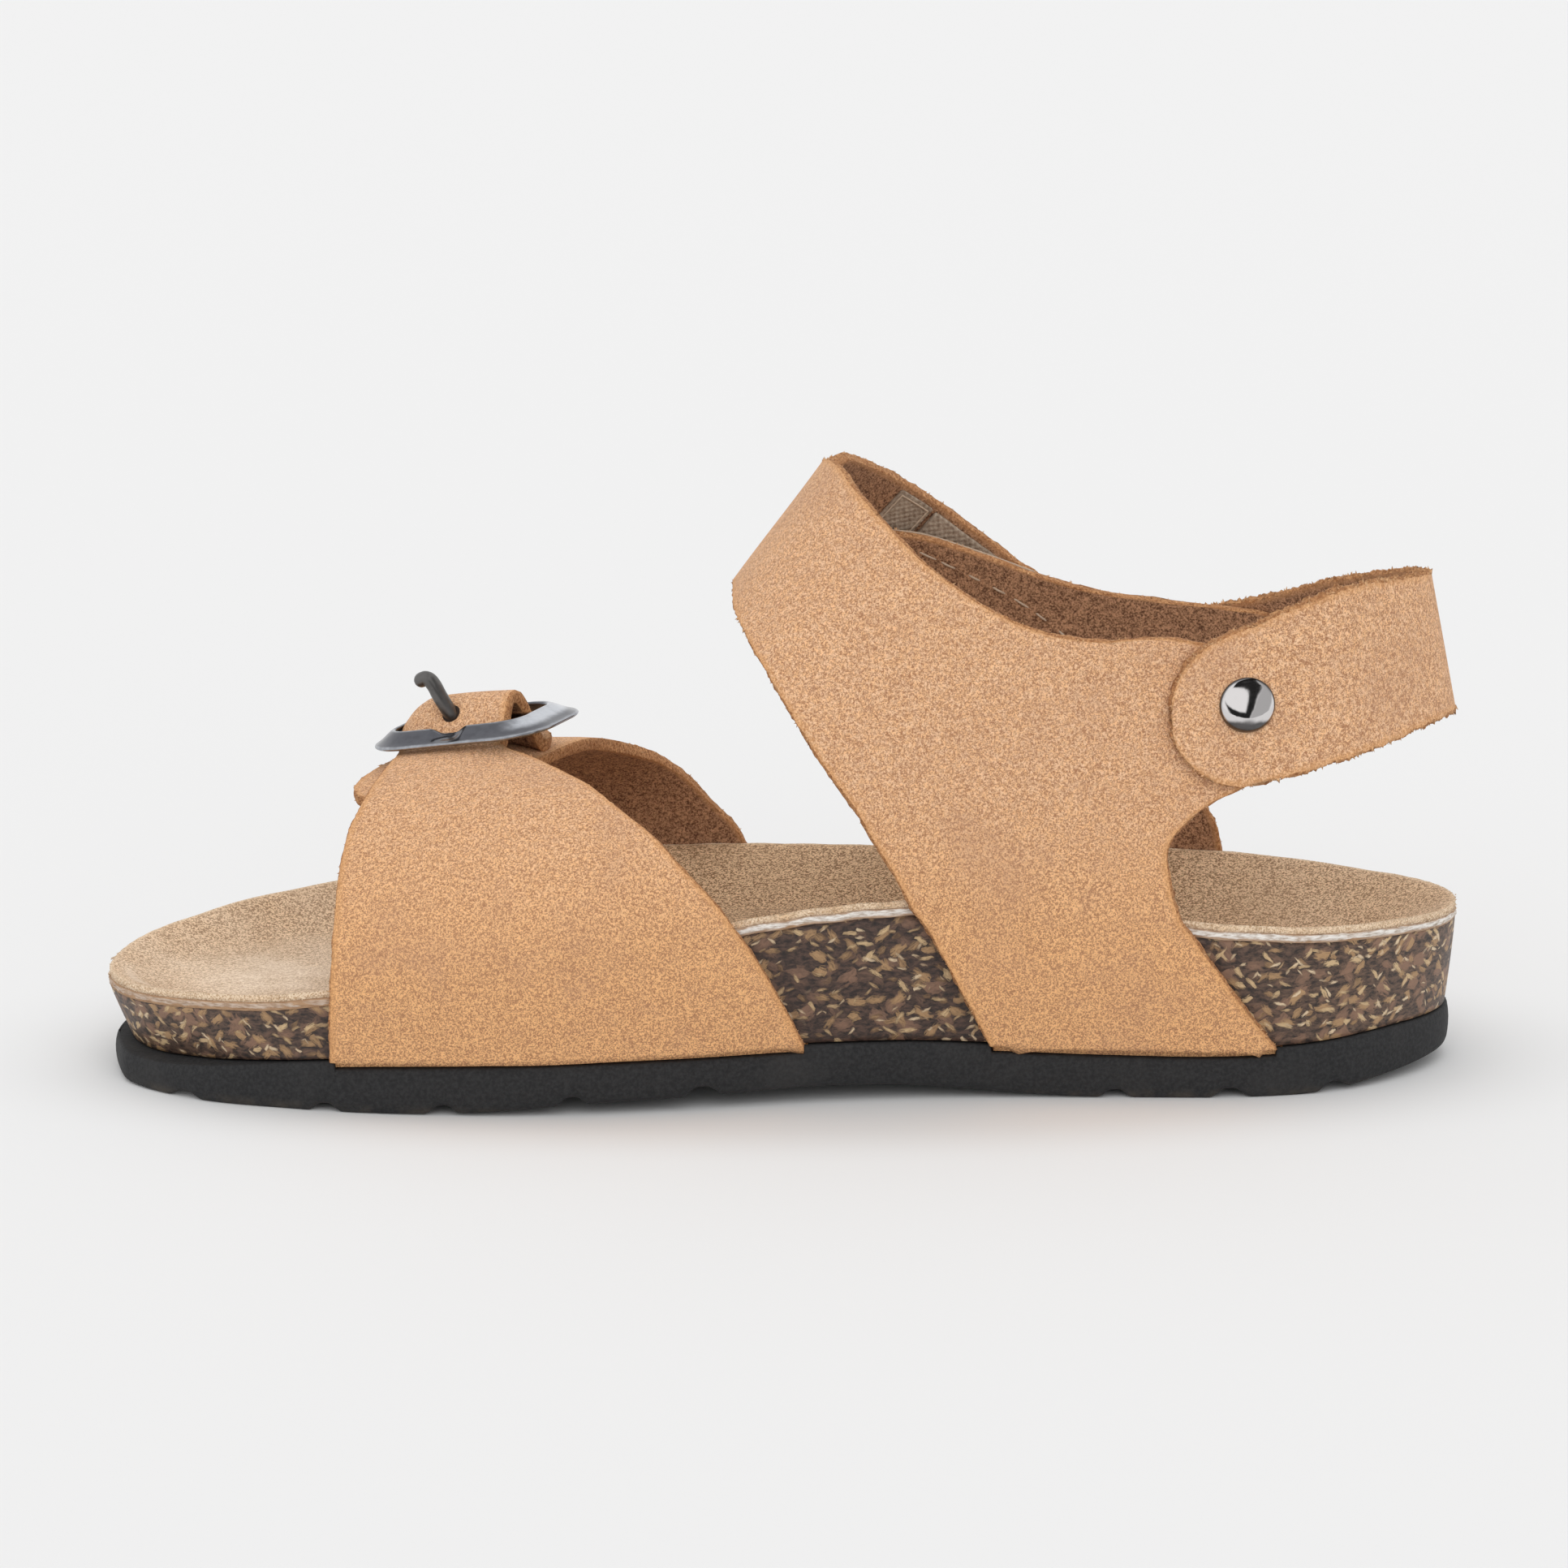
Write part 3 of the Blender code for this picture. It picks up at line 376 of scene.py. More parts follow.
def unit(vectors):
    """Vectors divided by their lengths."""
    return vectors / np.maximum(np.linalg.norm(vectors, axis=-1, keepdims=True), 1e-12)


def travelled(points, axis=0):
    """Distance travelled along one axis of a grid of points, from zero at its start."""
    step = np.linalg.norm(np.diff(points, axis=axis), axis=-1)
    return np.concatenate([np.zeros_like(step.take([0], axis)), np.cumsum(step, axis)], axis)


def share_of(x):
    """Outline parameter u (0 toe, 1 heel) of a length x: the arc cosine crowds stations at the round ends."""
    return np.arccos(np.clip(-2.0 * np.asarray(x, float) / LENGTH, -1.0, 1.0)) / np.pi


PLAN_U = share_of((PLAN[:, 0] - 0.5) * LENGTH)


def length_at(u):
    """Length x of an outline parameter."""
    return -0.5 * LENGTH * np.cos(np.pi * np.asarray(u, float))


def edge_y(x, side):
    """Edge of the plan at x: side 1 is the medial column, 2 the lateral one."""
    return BALL_WIDTH * through(PLAN_U, PLAN[:, side], share_of(x))


def height(x, column):
    """One column of the heights table at x."""
    return through(HEIGHTS[:, 0], HEIGHTS[:, column], np.asarray(x, float))


def crest_height(x):
    """Height of the last's crest at x."""
    return through(CREST[:, 0], CREST[:, 1], np.asarray(x, float))


def seat_height(x):
    """Underside of the cork, one gap above the outsole."""
    return height(x, 4) + GAP


def outline(u, side, inset):
    """Point of the plan's edge moved inwards by inset along its normal."""
    u = np.asarray(u, float)

    def point(w):
        """Point of the edge; past the toe or the heel it runs on along the other side."""
        wrapped = np.where(w < 0.0, -w, np.where(w > 1.0, 2.0 - w, w))
        same = (w >= 0.0) & (w <= 1.0)
        x = length_at(wrapped)
        return x, np.where(same, edge_y(x, side), edge_y(x, 3 - side))

    ahead_x, ahead_y = point(u + PROBE_U)
    behind_x, behind_y = point(u - PROBE_U)
    x, y = point(u)
    along_x, along_y = ahead_x - behind_x, ahead_y - behind_y
    size = np.hypot(along_x, along_y)
    hand = 1.0 if side == 1 else -1.0
    return x - hand * along_y / size * inset, y + hand * along_x / size * inset


def wall_and_arch(x, angle, medial):
    """Point of the last: an elliptic arch from the rim to the crest, and below the rim the cork's wall."""
    edge = np.where(medial, edge_y(x, 1), edge_y(x, 2))
    rim = np.where(medial, height(x, 1), height(x, 2))
    rise = np.radians(np.clip(angle, 0.0, 90.0))
    wall = np.clip(-angle / MARGIN_TURN, 0.0, 1.0)
    inward = np.where(medial, 1.0, -1.0)
    y = CREST_Y + (edge - CREST_Y) * np.cos(rise) + inward * CORK_TAPER * wall
    z = rim + (crest_height(x) - rim) * np.sin(rise) + (seat_height(x) - rim) * wall
    reach = smooth(LEAN_FROM_X, LEAN_TO_X, x)
    lean = HEEL_LEAN * np.maximum(z - LEAN_FROM_HEIGHT, 0.0) * reach
    return np.stack([x - lean, y, z], -1)


def last(x, turn):
    """Point and outward normal of the last; past the wall the normal turns down round the cork's edge."""
    x, turn = np.broadcast_arrays(np.asarray(x, float), np.asarray(turn, float))
    medial = turn <= 90.0
    angle = np.where(medial, turn, 180.0 - turn)
    held = np.clip(angle, -MARGIN_TURN + 2.0 * PROBE, 90.0 - 2.0 * PROBE)
    along_x = wall_and_arch(x + PROBE, held, medial) - wall_and_arch(x - PROBE, held, medial)
    along_angle = wall_and_arch(x, held + PROBE, medial) - wall_and_arch(x, held - PROBE, medial)
    normal = unit(np.cross(along_x, along_angle)) * np.where(medial, 1.0, -1.0)[..., None]
    fold = np.clip((-MARGIN_TURN - angle) / MARGIN_TURN, 0.0, 1.0)
    bend = 0.5 * np.pi * np.clip(fold / FOLD_SHARE, 0.0, 1.0)
    inward = MARGIN * np.clip((fold - FOLD_SHARE) / (1.0 - FOLD_SHARE), 0.0, 1.0)
    normal = normal * np.cos(bend)[..., None] + np.array([0.0, 0.0, -1.0]) * np.sin(bend)[..., None]
    point = wall_and_arch(x, np.maximum(angle, -MARGIN_TURN), medial)
    point[..., 1] += np.where(medial, inward, -inward)
    return point, normal


def turn_at_height(x, z, side):
    """Turn of the last's point at station x and height z, on the medial (1) or lateral (2) side."""
    rim, seat = height(x, side), seat_height(x)
    above = np.degrees(np.arcsin(np.clip((z - rim) / (crest_height(x) - rim), 0.0, 1.0)))
    below = MARGIN_TURN * np.clip((rim - z) / (rim - seat), 0.0, 1.0)
    angle = above - below
    return angle if side == 1 else 180.0 - angle


def turn_in_plan(x, y):
    """Turn of the last's point over the plan position x, y."""
    medial = y <= CREST_Y
    edge = np.where(medial, edge_y(x, 1), edge_y(x, 2))
    angle = np.degrees(np.arccos(np.clip((y - CREST_Y) / (edge - CREST_Y), 0.0, 1.0)))
    return np.where(medial, angle, 180.0 - angle)


def side_rows(table, side):
    """Rows of front x, front turn, back x, back turn, from heights on one side."""
    front = turn_at_height(table[:, 0], table[:, 1], side)
    back = turn_at_height(table[:, 2], table[:, 3], side)
    return np.stack([table[:, 0], front, table[:, 2], back], -1)


def lasted_rows(table, side):
    """Side rows of a strap that is glued under the cork.

    The first is its margin, the second lies at the cork's lower edge and the third close above that.
    """
    rows = side_rows(table, side)
    edge_turn, margin_turn = -MARGIN_TURN, -2.0 * MARGIN_TURN
    rows[0, [1, 3]] = edge_turn if side == 1 else 180.0 - edge_turn
    hem = rows[0] + HEM_RUN * (rows[0] - rows[1])
    hem[[1, 3]] = margin_turn if side == 1 else 180.0 - margin_turn
    close = rows[0] + HEM_CLOSE * (rows[1] - rows[0])
    return np.vstack([hem, rows[0], close, rows[1:]])


def lasted_lifts(count):
    """Lift of each row at its front and back edge, its shoulder, and the start and stop of its dip.

    A row is pressed in under the cork and lies one gap off the last above it.
    """
    lifts = np.zeros((count, 5))
    lifts[:, 4] = 1.0
    lifts[:, :2] = GAP
    lifts[:2, :2] = HEM_LIFT
    lifts[2, :2] = HEM_LIFT + HEM_CLOSE * (GAP - HEM_LIFT)
    return lifts


def buckle_plan(q, b):
    """Plan position of a point of the buckle's frame."""
    sin, cos = math.sin(BUCKLE_YAW), math.cos(BUCKLE_YAW)
    return BUCKLE_X + q * sin + b * cos, BUCKLE_Y + q * cos - b * sin


def buckle_rows(table):
    """Rows of front x, front turn, back x, back turn, from places in the buckle's frame."""
    front_x, front_y = buckle_plan(table[:, 0], table[:, 1])
    back_x, back_y = buckle_plan(table[:, 2], table[:, 3])
    return np.stack([front_x, turn_in_plan(front_x, front_y), back_x, turn_in_plan(back_x, back_y)], -1)


def way_along(rows):
    """Distance travelled along a strap at each of its rows, from the mean step of its two edges."""
    front, _ = last(rows[:, 0], rows[:, 1])
    back, _ = last(rows[:, 2], rows[:, 3])
    step = np.linalg.norm(np.diff(0.5 * (front + back), axis=0), axis=1)
    return np.concatenate([[0.0], np.cumsum(np.maximum(step, 0.5))])


def strap_surface(rows, lifts, way, across):
    """Grid on the last, lifted off it along its normal: each row runs from front edge to back edge.

    Low rows run straight in height; rows near the crest run straight in turn; between them the two mix.
    Each row has a lift at its front edge, which goes over to that of its back edge by the cube of a share
    that runs across it, and a shoulder by which its front edge drops in a square curve.
    """
    stops = way_along(rows)
    front_x, front_turn, back_x, back_turn = [through(stops, edge, way)[:, None] for edge in rows.T]
    lift_columns = [through(stops, numbers, way)[:, None] for numbers in lifts.T]
    front_lift, back_lift, shoulder, start, stop = lift_columns
    dip = np.clip(start + (stop - start) * across, 0.0, 1.0)
    lift = front_lift + (back_lift - front_lift) * dip ** DIP_POWER
    lift = lift - shoulder * (1.0 - np.clip(across / SHOULDER_SHARE, 0.0, 1.0)) ** 2
    x = front_x + (back_x - front_x) * across
    swept = front_turn + (back_turn - front_turn) * across
    front_z = last(front_x, front_turn)[0][..., 2]
    back_z = last(back_x, back_turn)[0][..., 2]
    z = front_z + (back_z - front_z) * across
    medial = front_turn <= 90.0
    level = np.where(medial, turn_at_height(x, z, 1), turn_at_height(x, z, 2))
    angle = np.where(medial, front_turn, 180.0 - front_turn)
    same_side = medial == (back_turn <= 90.0)
    top = np.where(same_side, np.maximum(angle, 90.0 - np.abs(90.0 - back_turn)), 90.0)
    share = np.clip((top - LEVEL_TURN) / (SWEPT_TURN - LEVEL_TURN), 0.0, 1.0)
    share = np.where(angle < -MARGIN_TURN + PROBE, 1.0, share)
    point, normal = last(x, level + (swept - level) * share)
    return point + normal * lift[..., None]


def rounded_rows(front, back, start, end, radius, turns):
    """Rows of a strap end with round corners, in the buckle's frame: a quarter circle pulls both edges in."""
    sign = math.copysign(1.0, end - start)
    angle = np.radians(turns)
    q = end - sign * radius * (1.0 - np.sin(angle))
    pull = radius * (1.0 - np.cos(angle))
    return np.stack([q, front + pull, q, back - pull], -1)


CORNER_TURNS = np.array([0.0, 20.0, 40.0, 55.0, 68.0, 79.0, 87.0])


def toe_medial_rows():
    """Rows and lifts of the medial toe piece and its tongue; the lift rises as one cosine wave over the bar.

    Past the bar the tongue dips towards the back as the lateral piece under it does.
    """
    over = np.arange(-ARCH_HALF, ARCH_HALF + 0.1, ARCH_HALF / 4.0)
    straight = np.stack([over, np.full_like(over, -TONGUE_HALF), over, np.full_like(over, TONGUE_HALF)], -1)
    tip = rounded_rows(-TONGUE_HALF, TONGUE_HALF, ARCH_HALF, TONGUE_END, TONGUE_HALF - 1.0, CORNER_TURNS)
    tongue = np.vstack([TONGUE[:, :4], straight, tip])
    body = lasted_rows(TOE_MEDIAL, 1)
    rows = np.vstack([body, buckle_rows(tongue)])
    start = len(body)
    wave = 0.5 + 0.5 * np.cos(np.pi * np.clip(tongue[:, :1] / ARCH_HALF, -1.0, 1.0))
    lifts = lasted_lifts(len(rows))
    lifts[start:, :2] = LAP_LIFT + ARCH_RISE * wave
    lifts[start:, 2] = SHOULDER * wave[:, 0]
    lifts[start:start + len(TONGUE), 1] = TONGUE[:, 4]
    tail = np.vstack([straight, tip])
    under = through(UNDERLAY_ROWS[::-1, 0], UNDERLAY_ROWS[::-1, 1], tail[:, 0])
    lifts[-len(tail):, 1] += (under - GAP) * smooth(0.0, ARCH_HALF, tail[:, 0])
    lifts[-len(tail):, 3:] = (tail[:, [1, 3]] - UNDERLAY_FRONT) / (UNDERLAY_BACK - UNDERLAY_FRONT)
    lifts[start - 1] = 0.5 * (lifts[start - 2] + lifts[start])
    return rows, lifts


def toe_lateral_rows():
    """Rows and lifts of the lateral toe piece, whose round end lies under the medial one."""
    body = lasted_rows(TOE_LATERAL, 2)
    band = np.array([(q, UNDERLAY_FRONT, q, UNDERLAY_BACK) for q in UNDERLAY_ROWS[:, 0]])
    last_q = UNDERLAY_ROWS[-1, 0]
    end = rounded_rows(UNDERLAY_FRONT, UNDERLAY_BACK, last_q, UNDERLAY_END, UNDERLAY_ROUND, CORNER_TURNS)
    rows = np.vstack([body, buckle_rows(np.vstack([band, end]))])
    start = len(body)
    lifts = lasted_lifts(len(rows))
    lifts[start:, 1] = UNDERLAY_ROWS[-1, 1]
    lifts[start:start + len(band), 1] = UNDERLAY_ROWS[:, 1]
    return rows, lifts


def ankle_medial_rows():
    """Rows and lifts of the medial quarter and the instep strap that it runs into."""
    body = lasted_rows(QUARTER_MEDIAL, 1)
    crest = np.array([(CREST_ROW[0], 90.0, CREST_ROW[1], 90.0)])
    far = side_rows(INSTEP_LATERAL, 2)
    rows = np.vstack([body, crest, far])
    rise = np.clip(np.arange(1, len(far) + 1) / CLOSURE_ROWS, 0.0, 1.0)
    lifts = lasted_lifts(len(rows))
    lifts[-len(far):, :2] += (CLOSURE_LIFT - GAP) * rise[:, None]
    return rows, lifts


def ankle_lateral_rows():
    """Rows and lifts of the lateral quarter."""
    rows = lasted_rows(QUARTER_LATERAL, 2)
    return rows, lasted_lifts(len(rows))


def heel_point(way, z):
    """Point of the last at a way round the heel and a height: negative ways are medial."""
    x = length_at(1.0 - np.abs(way))
    turn = np.where(way <= 0.0, turn_at_height(x, z, 1), turn_at_height(x, z, 2))
    return last(x, turn)[0]


def heel_normal(way, z):
    """Outward direction round the heel: the cross product of a step round and a step up."""
    round_heel = heel_point(way + PROBE_U, z) - heel_point(way - PROBE_U, z)
    upwards = heel_point(way, z + PROBE) - heel_point(way, z - PROBE)
    return unit(np.cross(round_heel, upwards))


def heel_band(stations, columns):
    """Grid of the heel strap: its half width follows a blunt half ellipse at both ends."""
    start, stop = HEEL_STRAP[0, 0], HEEL_STRAP[-1, 0]
    round_end = HEEL_END * (1.0 - np.cos(np.radians(np.linspace(4.0, 90.0, END_STEPS))))
    middle = np.linspace(start + HEEL_END, stop - HEEL_END, stations)[1:-1]
    way = np.concatenate([start + round_end, middle, (stop - round_end)[::-1]])
    to_end = np.minimum(way - start, stop - way)
    full = (1.0 - np.clip(1.0 - to_end / HEEL_END, 0.0, 1.0) ** END_POWER) ** (1.0 / END_POWER)
    centre = through(HEEL_STRAP[:, 0], HEEL_STRAP[:, 1], way)
    half = through(HEEL_STRAP[:, 0], HEEL_STRAP[:, 2], way) * full
    z = centre[:, None] + half[:, None] * np.linspace(1.0, -1.0, columns)
    w = np.broadcast_to(way[:, None], z.shape)
    return heel_point(w, z) + heel_normal(w, z) * LAP_LIFT


def grid_quads(rows, columns, wrap, start=0):
    """Corner numbers of a grid's faces, row after row; a wrapped grid joins its last column to its first."""
    i, j = np.meshgrid(np.arange(rows - 1), np.arange(columns if wrap else columns - 1), indexing="ij")
    k = (j + 1) % columns
    quads = np.stack([i * columns + j, i * columns + k, (i + 1) * columns + k, (i + 1) * columns + j], -1)
    return quads.reshape(-1, 4) + start


def put(name, points, quads, paints, face_paint=None, uv=None, values=None):
    """Mesh object from whole arrays: points in millimetres, faces, each face's material, UV and values."""
    mesh = bpy.data.meshes.new(name)
    points = np.asarray(points, float).reshape(-1, 3) * MM
    mesh.from_pydata(points.tolist(), [], np.asarray(quads).tolist())
    for paint in paints:
        mesh.materials.append(paint)
    if face_paint is not None:
        mesh.polygons.foreach_set("material_index", np.asarray(face_paint, np.int32))
    corners = np.zeros(len(mesh.loops), np.int32)
    mesh.loops.foreach_get("vertex_index", corners)
    if uv is not None:
        layer = mesh.uv_layers.new(name="UVMap")
        layer.data.foreach_set("uv", np.asarray(uv, np.float32).reshape(-1, 2)[corners].ravel())
    for key, numbers in (values or {}).items():
        kept = mesh.attributes.new(key, "FLOAT", "POINT")
        kept.data.foreach_set("value", np.asarray(numbers, np.float32).ravel())
    edit = bmesh.new()
    edit.from_mesh(mesh)
    bmesh.ops.remove_doubles(edit, verts=edit.verts, dist=SAME_POINT)
    bmesh.ops.dissolve_degenerate(edit, edges=edit.edges, dist=SLIVER)
    edit.to_mesh(mesh)
    edit.free()
    mesh.polygons.foreach_set("use_smooth", np.ones(len(mesh.polygons), bool))
    made = bpy.data.objects.new(name, mesh)
    bpy.context.scene.collection.objects.link(made)
    return made


def fitted(piece, node):
    """The piece rides on the shoe and stands for its solid, which is hidden."""
    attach(piece, "root")
    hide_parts(node)
    return piece


def wander(count, seed, widths):
    """Smooth random walk round a loop: white noise averaged over each width, summed, at unit spread."""
    source = np.random.default_rng(seed)
    total = np.zeros(count)
    for width in widths:
        noise = source.normal(size=count + 2 * width)
        total += np.convolve(noise, np.ones(width) / math.sqrt(width), "same")[width:width + count]
    return total / math.sqrt(len(widths))


# Rings of a cut edge from the outer face to the inner one: share of the thickness, share of the bulge
CUT_RINGS = np.array([
    # thickness, bulge
    (0.97, 0.55),
    (0.80, 1.00),
    (0.50, 1.10),
    (0.20, 1.00),
    (0.03, 0.55),
])


def grid_normals(grid):
    """Outward normals of a grid: the step along a row crossed with the step between rows."""
    return unit(np.cross(np.gradient(grid, axis=1), np.gradient(grid, axis=0)))


def boundary(rows, columns):
    """Numbers of a grid's border points, once round, with the grid on the left."""
    ij = np.arange(rows * columns).reshape(rows, columns)
    return np.concatenate([ij[0, :-1], ij[:-1, -1], ij[-1, :0:-1], ij[:0:-1, 0]])


def sheet(name, grid, seed, ragged, thickness, paints):
    """Closed sheet: the grid is its inner face, the outer face lies a thickness out along the normals.

    A ring of cut edges joins the two. Each ring stands out by its share of the bulge, plus a random walk that
    frays the edge. The rim value is the distance from the nearest edge in millimetres.
    """
    rows, columns = grid.shape[:2]
    normal = grid_normals(grid)
    outer = grid + normal * thickness
    loop = boundary(rows, columns)
    inner_loop = grid.reshape(-1, 3)[loop]
    outer_loop = outer.reshape(-1, 3)[loop]
    along = np.roll(inner_loop, -1, 0) - np.roll(inner_loop, 1, 0)
    outward = unit(np.cross(along, normal.reshape(-1, 3)[loop]))
    count = len(loop)
    rings = []
    for k, (share, bulge) in enumerate(CUT_RINGS):
        fray = ragged * wander(count, seed + k, (1, 3, 7))
        base = inner_loop + (outer_loop - inner_loop) * share
        rings.append(base + outward * (CUT_BULGE * bulge + fray)[:, None])
    fray = 0.5 * ragged * wander(count, seed + 20, (3, 7))[:, None]
    flat_outer, flat_inner = outer.reshape(-1, 3).copy(), grid.reshape(-1, 3).copy()
    flat_outer[loop] += outward * fray
    flat_inner[loop] += outward * fray
    size = rows * columns
    points = np.concatenate([flat_outer, flat_inner] + rings)
    face_out = grid_quads(rows, columns, False)
    face_in = grid_quads(rows, columns, False, size)[:, ::-1]
    loops = [loop] + [2 * size + k * count + np.arange(count) for k in range(len(rings))] + [loop + size]
    cut = []
    for upper, lower in zip(loops, loops[1:]):
        cut.append(np.stack([lower, np.roll(lower, -1), np.roll(upper, -1), upper], -1))
    quads = np.concatenate([face_out, face_in] + cut)
    face_paint = np.concatenate([
        np.zeros(len(face_out), int),
        np.full(len(face_in), 2),
        np.ones(len(cut) * count, int),
    ])
    width, run = travelled(grid, 1), travelled(grid, 0)
    rim = np.minimum.reduce([width, width[:, -1:] - width, run[-1:] - run])
    rim = np.concatenate([rim.ravel(), rim.ravel(), np.zeros(len(rings) * count)])
    uv = np.stack([width, run], -1).reshape(-1, 2) * MM
    uv = np.concatenate([uv, uv] + [uv[loop]] * len(rings))
    return put(name, points, quads, paints, face_paint, uv, {"rim": rim})


def strap_grid(rows_and_lifts, step, columns):
    """Even grid over a strap; a lateral one runs back to front, so that its outer face stays outside."""
    rows, lifts = rows_and_lifts
    stops = way_along(rows)
    way = np.linspace(0.0, stops[-1], int(stops[-1] / step))
    across = np.linspace(0.0, 1.0, columns) if rows[0, 1] < 90.0 else np.linspace(1.0, 0.0, columns)
    return strap_surface(rows, lifts, way, across)


# Loose fibres in millimetres: root in the leather, lean, shortest and random share of the reach, thickness
FIBRE_ROOT = 0.12
FIBRE_LEAN = 0.6
FIBRE_SHORTEST = 0.30
FIBRE_SPREAD = 0.9
FIBRE_RADIUS = 0.08
FIBRE_THICKENING = 0.32


def spikes(name, start, heading, size, radius, seed, paint):
    """Slim three-sided spikes: a foot of three points round each start and one tip along its heading."""
    source = np.random.default_rng(seed)
    first = unit(np.cross(heading, source.normal(size=heading.shape)))
    second = np.cross(heading, first)
    turn = np.radians([0.0, 120.0, 240.0])
    ring = first[:, None] * np.cos(turn)[:, None] + second[:, None] * np.sin(turn)[:, None]
    foot = (start - FIBRE_ROOT * heading)[:, None] + ring * radius[:, None, None]
    tip = start + heading * size[:, None]
    points = np.concatenate([foot, tip[:, None]], 1)
    base = 4 * np.arange(len(start))[:, None]
    faces = np.concatenate([base + corner for corner in ((0, 1, 3), (1, 2, 3), (2, 0, 3), (2, 1, 0))])
    return put(name, points, faces, [paint])


def fuzz(name, grid, thickness, per_mm, reach, seed, paint):
    """Loose fibre ends along a sheet's cut edge, at random places of the edge and depths of the sheet.

    Each heads outwards plus a random lean. Its length is a share of the reach plus a squared random share,
    and long ones are thicker.
    """
    source = np.random.default_rng(seed)
    loop = boundary(*grid.shape[:2])
    edge = grid.reshape(-1, 3)[loop]
    up = grid_normals(grid).reshape(-1, 3)[loop]
    along = np.roll(edge, -1, 0) - edge
    outward = unit(np.cross(np.roll(edge, -1, 0) - np.roll(edge, 1, 0), up))
    length = np.linalg.norm(along, axis=-1)
    count = int(length.sum() * per_mm)
    pick = source.choice(len(loop), count, p=length / length.sum())
    depth = thickness * source.beta(2.0, 1.2, (count, 1))
    start = edge[pick] + along[pick] * source.random((count, 1)) + up[pick] * depth
    heading = unit(outward[pick] + FIBRE_LEAN * source.normal(size=(count, 3)))
    size = reach * (FIBRE_SHORTEST + FIBRE_SPREAD * source.random(count) ** 2)
    radius = FIBRE_RADIUS + FIBRE_THICKENING * size
    return spikes(name, start, heading, size, radius, seed + 1, paint)


class Value:
    """Shader socket that takes part in Python arithmetic: each operator adds one Math node."""

    def __init__(self, paint, socket):
        self.paint = paint
        self.socket = socket

    def math(self, operation, *others):
        """One Math node with this value as its first term."""
        return self.paint.math(operation, self, *others)

    def __add__(self, other):
        return self.math("ADD", other)

    def __sub__(self, other):
        return self.math("SUBTRACT", other)

    def __rsub__(self, other):
        return self.paint.math("SUBTRACT", other, self)

    def __mul__(self, other):
        return self.math("MULTIPLY", other)

    def __truediv__(self, other):
        return self.math("DIVIDE", other)

    def rise(self, low, high):
        """Smooth step from 0 at low to 1 at high."""
        node = self.paint.node("ShaderNodeMapRange", {"interpolation_type": "SMOOTHSTEP"},
                               {"Value": self, "From Min": low, "From Max": high})
        return Value(self.paint, node.outputs["Result"])


class Paint:
    """Principled material whose varying inputs are worked out by expressions."""

    def __init__(self, name, **constants):
        self.material = bpy.data.materials.new(name)
        self.material.use_nodes = True
        self.tree = self.material.node_tree
        self.shader = self.tree.nodes["Principled BSDF"]
        for socket, number in constants.items():
            self.shader.inputs[socket.replace("_", " ").title()].default_value = number

    def node(self, kind, settings, sockets):
        """Any node: its type, its settings, then the values or links of its sockets."""
        made = self.tree.nodes.new(kind)
        for key, setting in settings.items():
            setattr(made, key, setting)
        for key, given in sockets.items():
            self.join(made.inputs[key], given)
        return made

    def join(self, socket, given):
        """A value is linked to the socket, a colour or a number is set in it."""
        if isinstance(given, Value):
            self.tree.links.new(given.socket, socket)
        elif isinstance(given, tuple) and socket.type == "RGBA":
            socket.default_value = (*given, 1.0)
        else:
            socket.default_value = given

    def math(self, operation, *terms):
        """One Math node on values or numbers."""
        node = self.node("ShaderNodeMath", {"operation": operation}, dict(enumerate(terms)))
        return Value(self, node.outputs[0])

    def place(self):
        """Position on the shoe, in metres."""
        return Value(self, self.node("ShaderNodeTexCoord", {}, {}).outputs["Object"])

    def uv(self):
        """The piece's own surface measure, in metres."""
        return Value(self, self.node("ShaderNodeTexCoord", {}, {}).outputs["UV"])

    def measure(self, name):
        """A value kept at the piece's points."""
        return Value(self, self.node("ShaderNodeAttribute", {"attribute_name": name}, {}).outputs["Fac"])

    def vector(self, operation, *terms):
        """One Vector Math node on vectors."""
        node = self.node("ShaderNodeVectorMath", {"operation": operation}, dict(enumerate(terms)))
        return Value(self, node.outputs[0])

    def split(self, vector):
        """The three parts of a vector."""
        node = self.node("ShaderNodeSeparateXYZ", {}, {0: vector})
        return [Value(self, socket) for socket in node.outputs]

    def noise(self, where, size_mm, detail=2.0, rough=0.5):
        """Soft random value, about one change for each size in millimetres."""
        node = self.node("ShaderNodeTexNoise", {}, {
            "Vector": where, "Scale": 1000.0 / size_mm, "Detail": detail, "Roughness": rough,
        })
        return Value(self, node.outputs["Fac"])

    def mix(self, share, first, second):
        """Colour between two colours."""
        node = self.node("ShaderNodeMix", {"data_type": "RGBA"}, {0: share, 6: first, 7: second})
        return Value(self, node.outputs[2])

    def finish(self, colour, rough=None, relief=None, depth_mm=0.1):
        """Links colour, roughness and a relief given in shares of its depth."""
        self.join(self.shader.inputs["Base Color"], colour)
        if rough is not None:
            self.join(self.shader.inputs["Roughness"], rough)
        if relief is not None:
            sockets = {"Height": relief, "Distance": depth_mm * MM, "Strength": 1.0}
            bump = self.node("ShaderNodeBump", {}, sockets)
            self.tree.links.new(bump.outputs["Normal"], self.shader.inputs["Normal"])
        return self.material


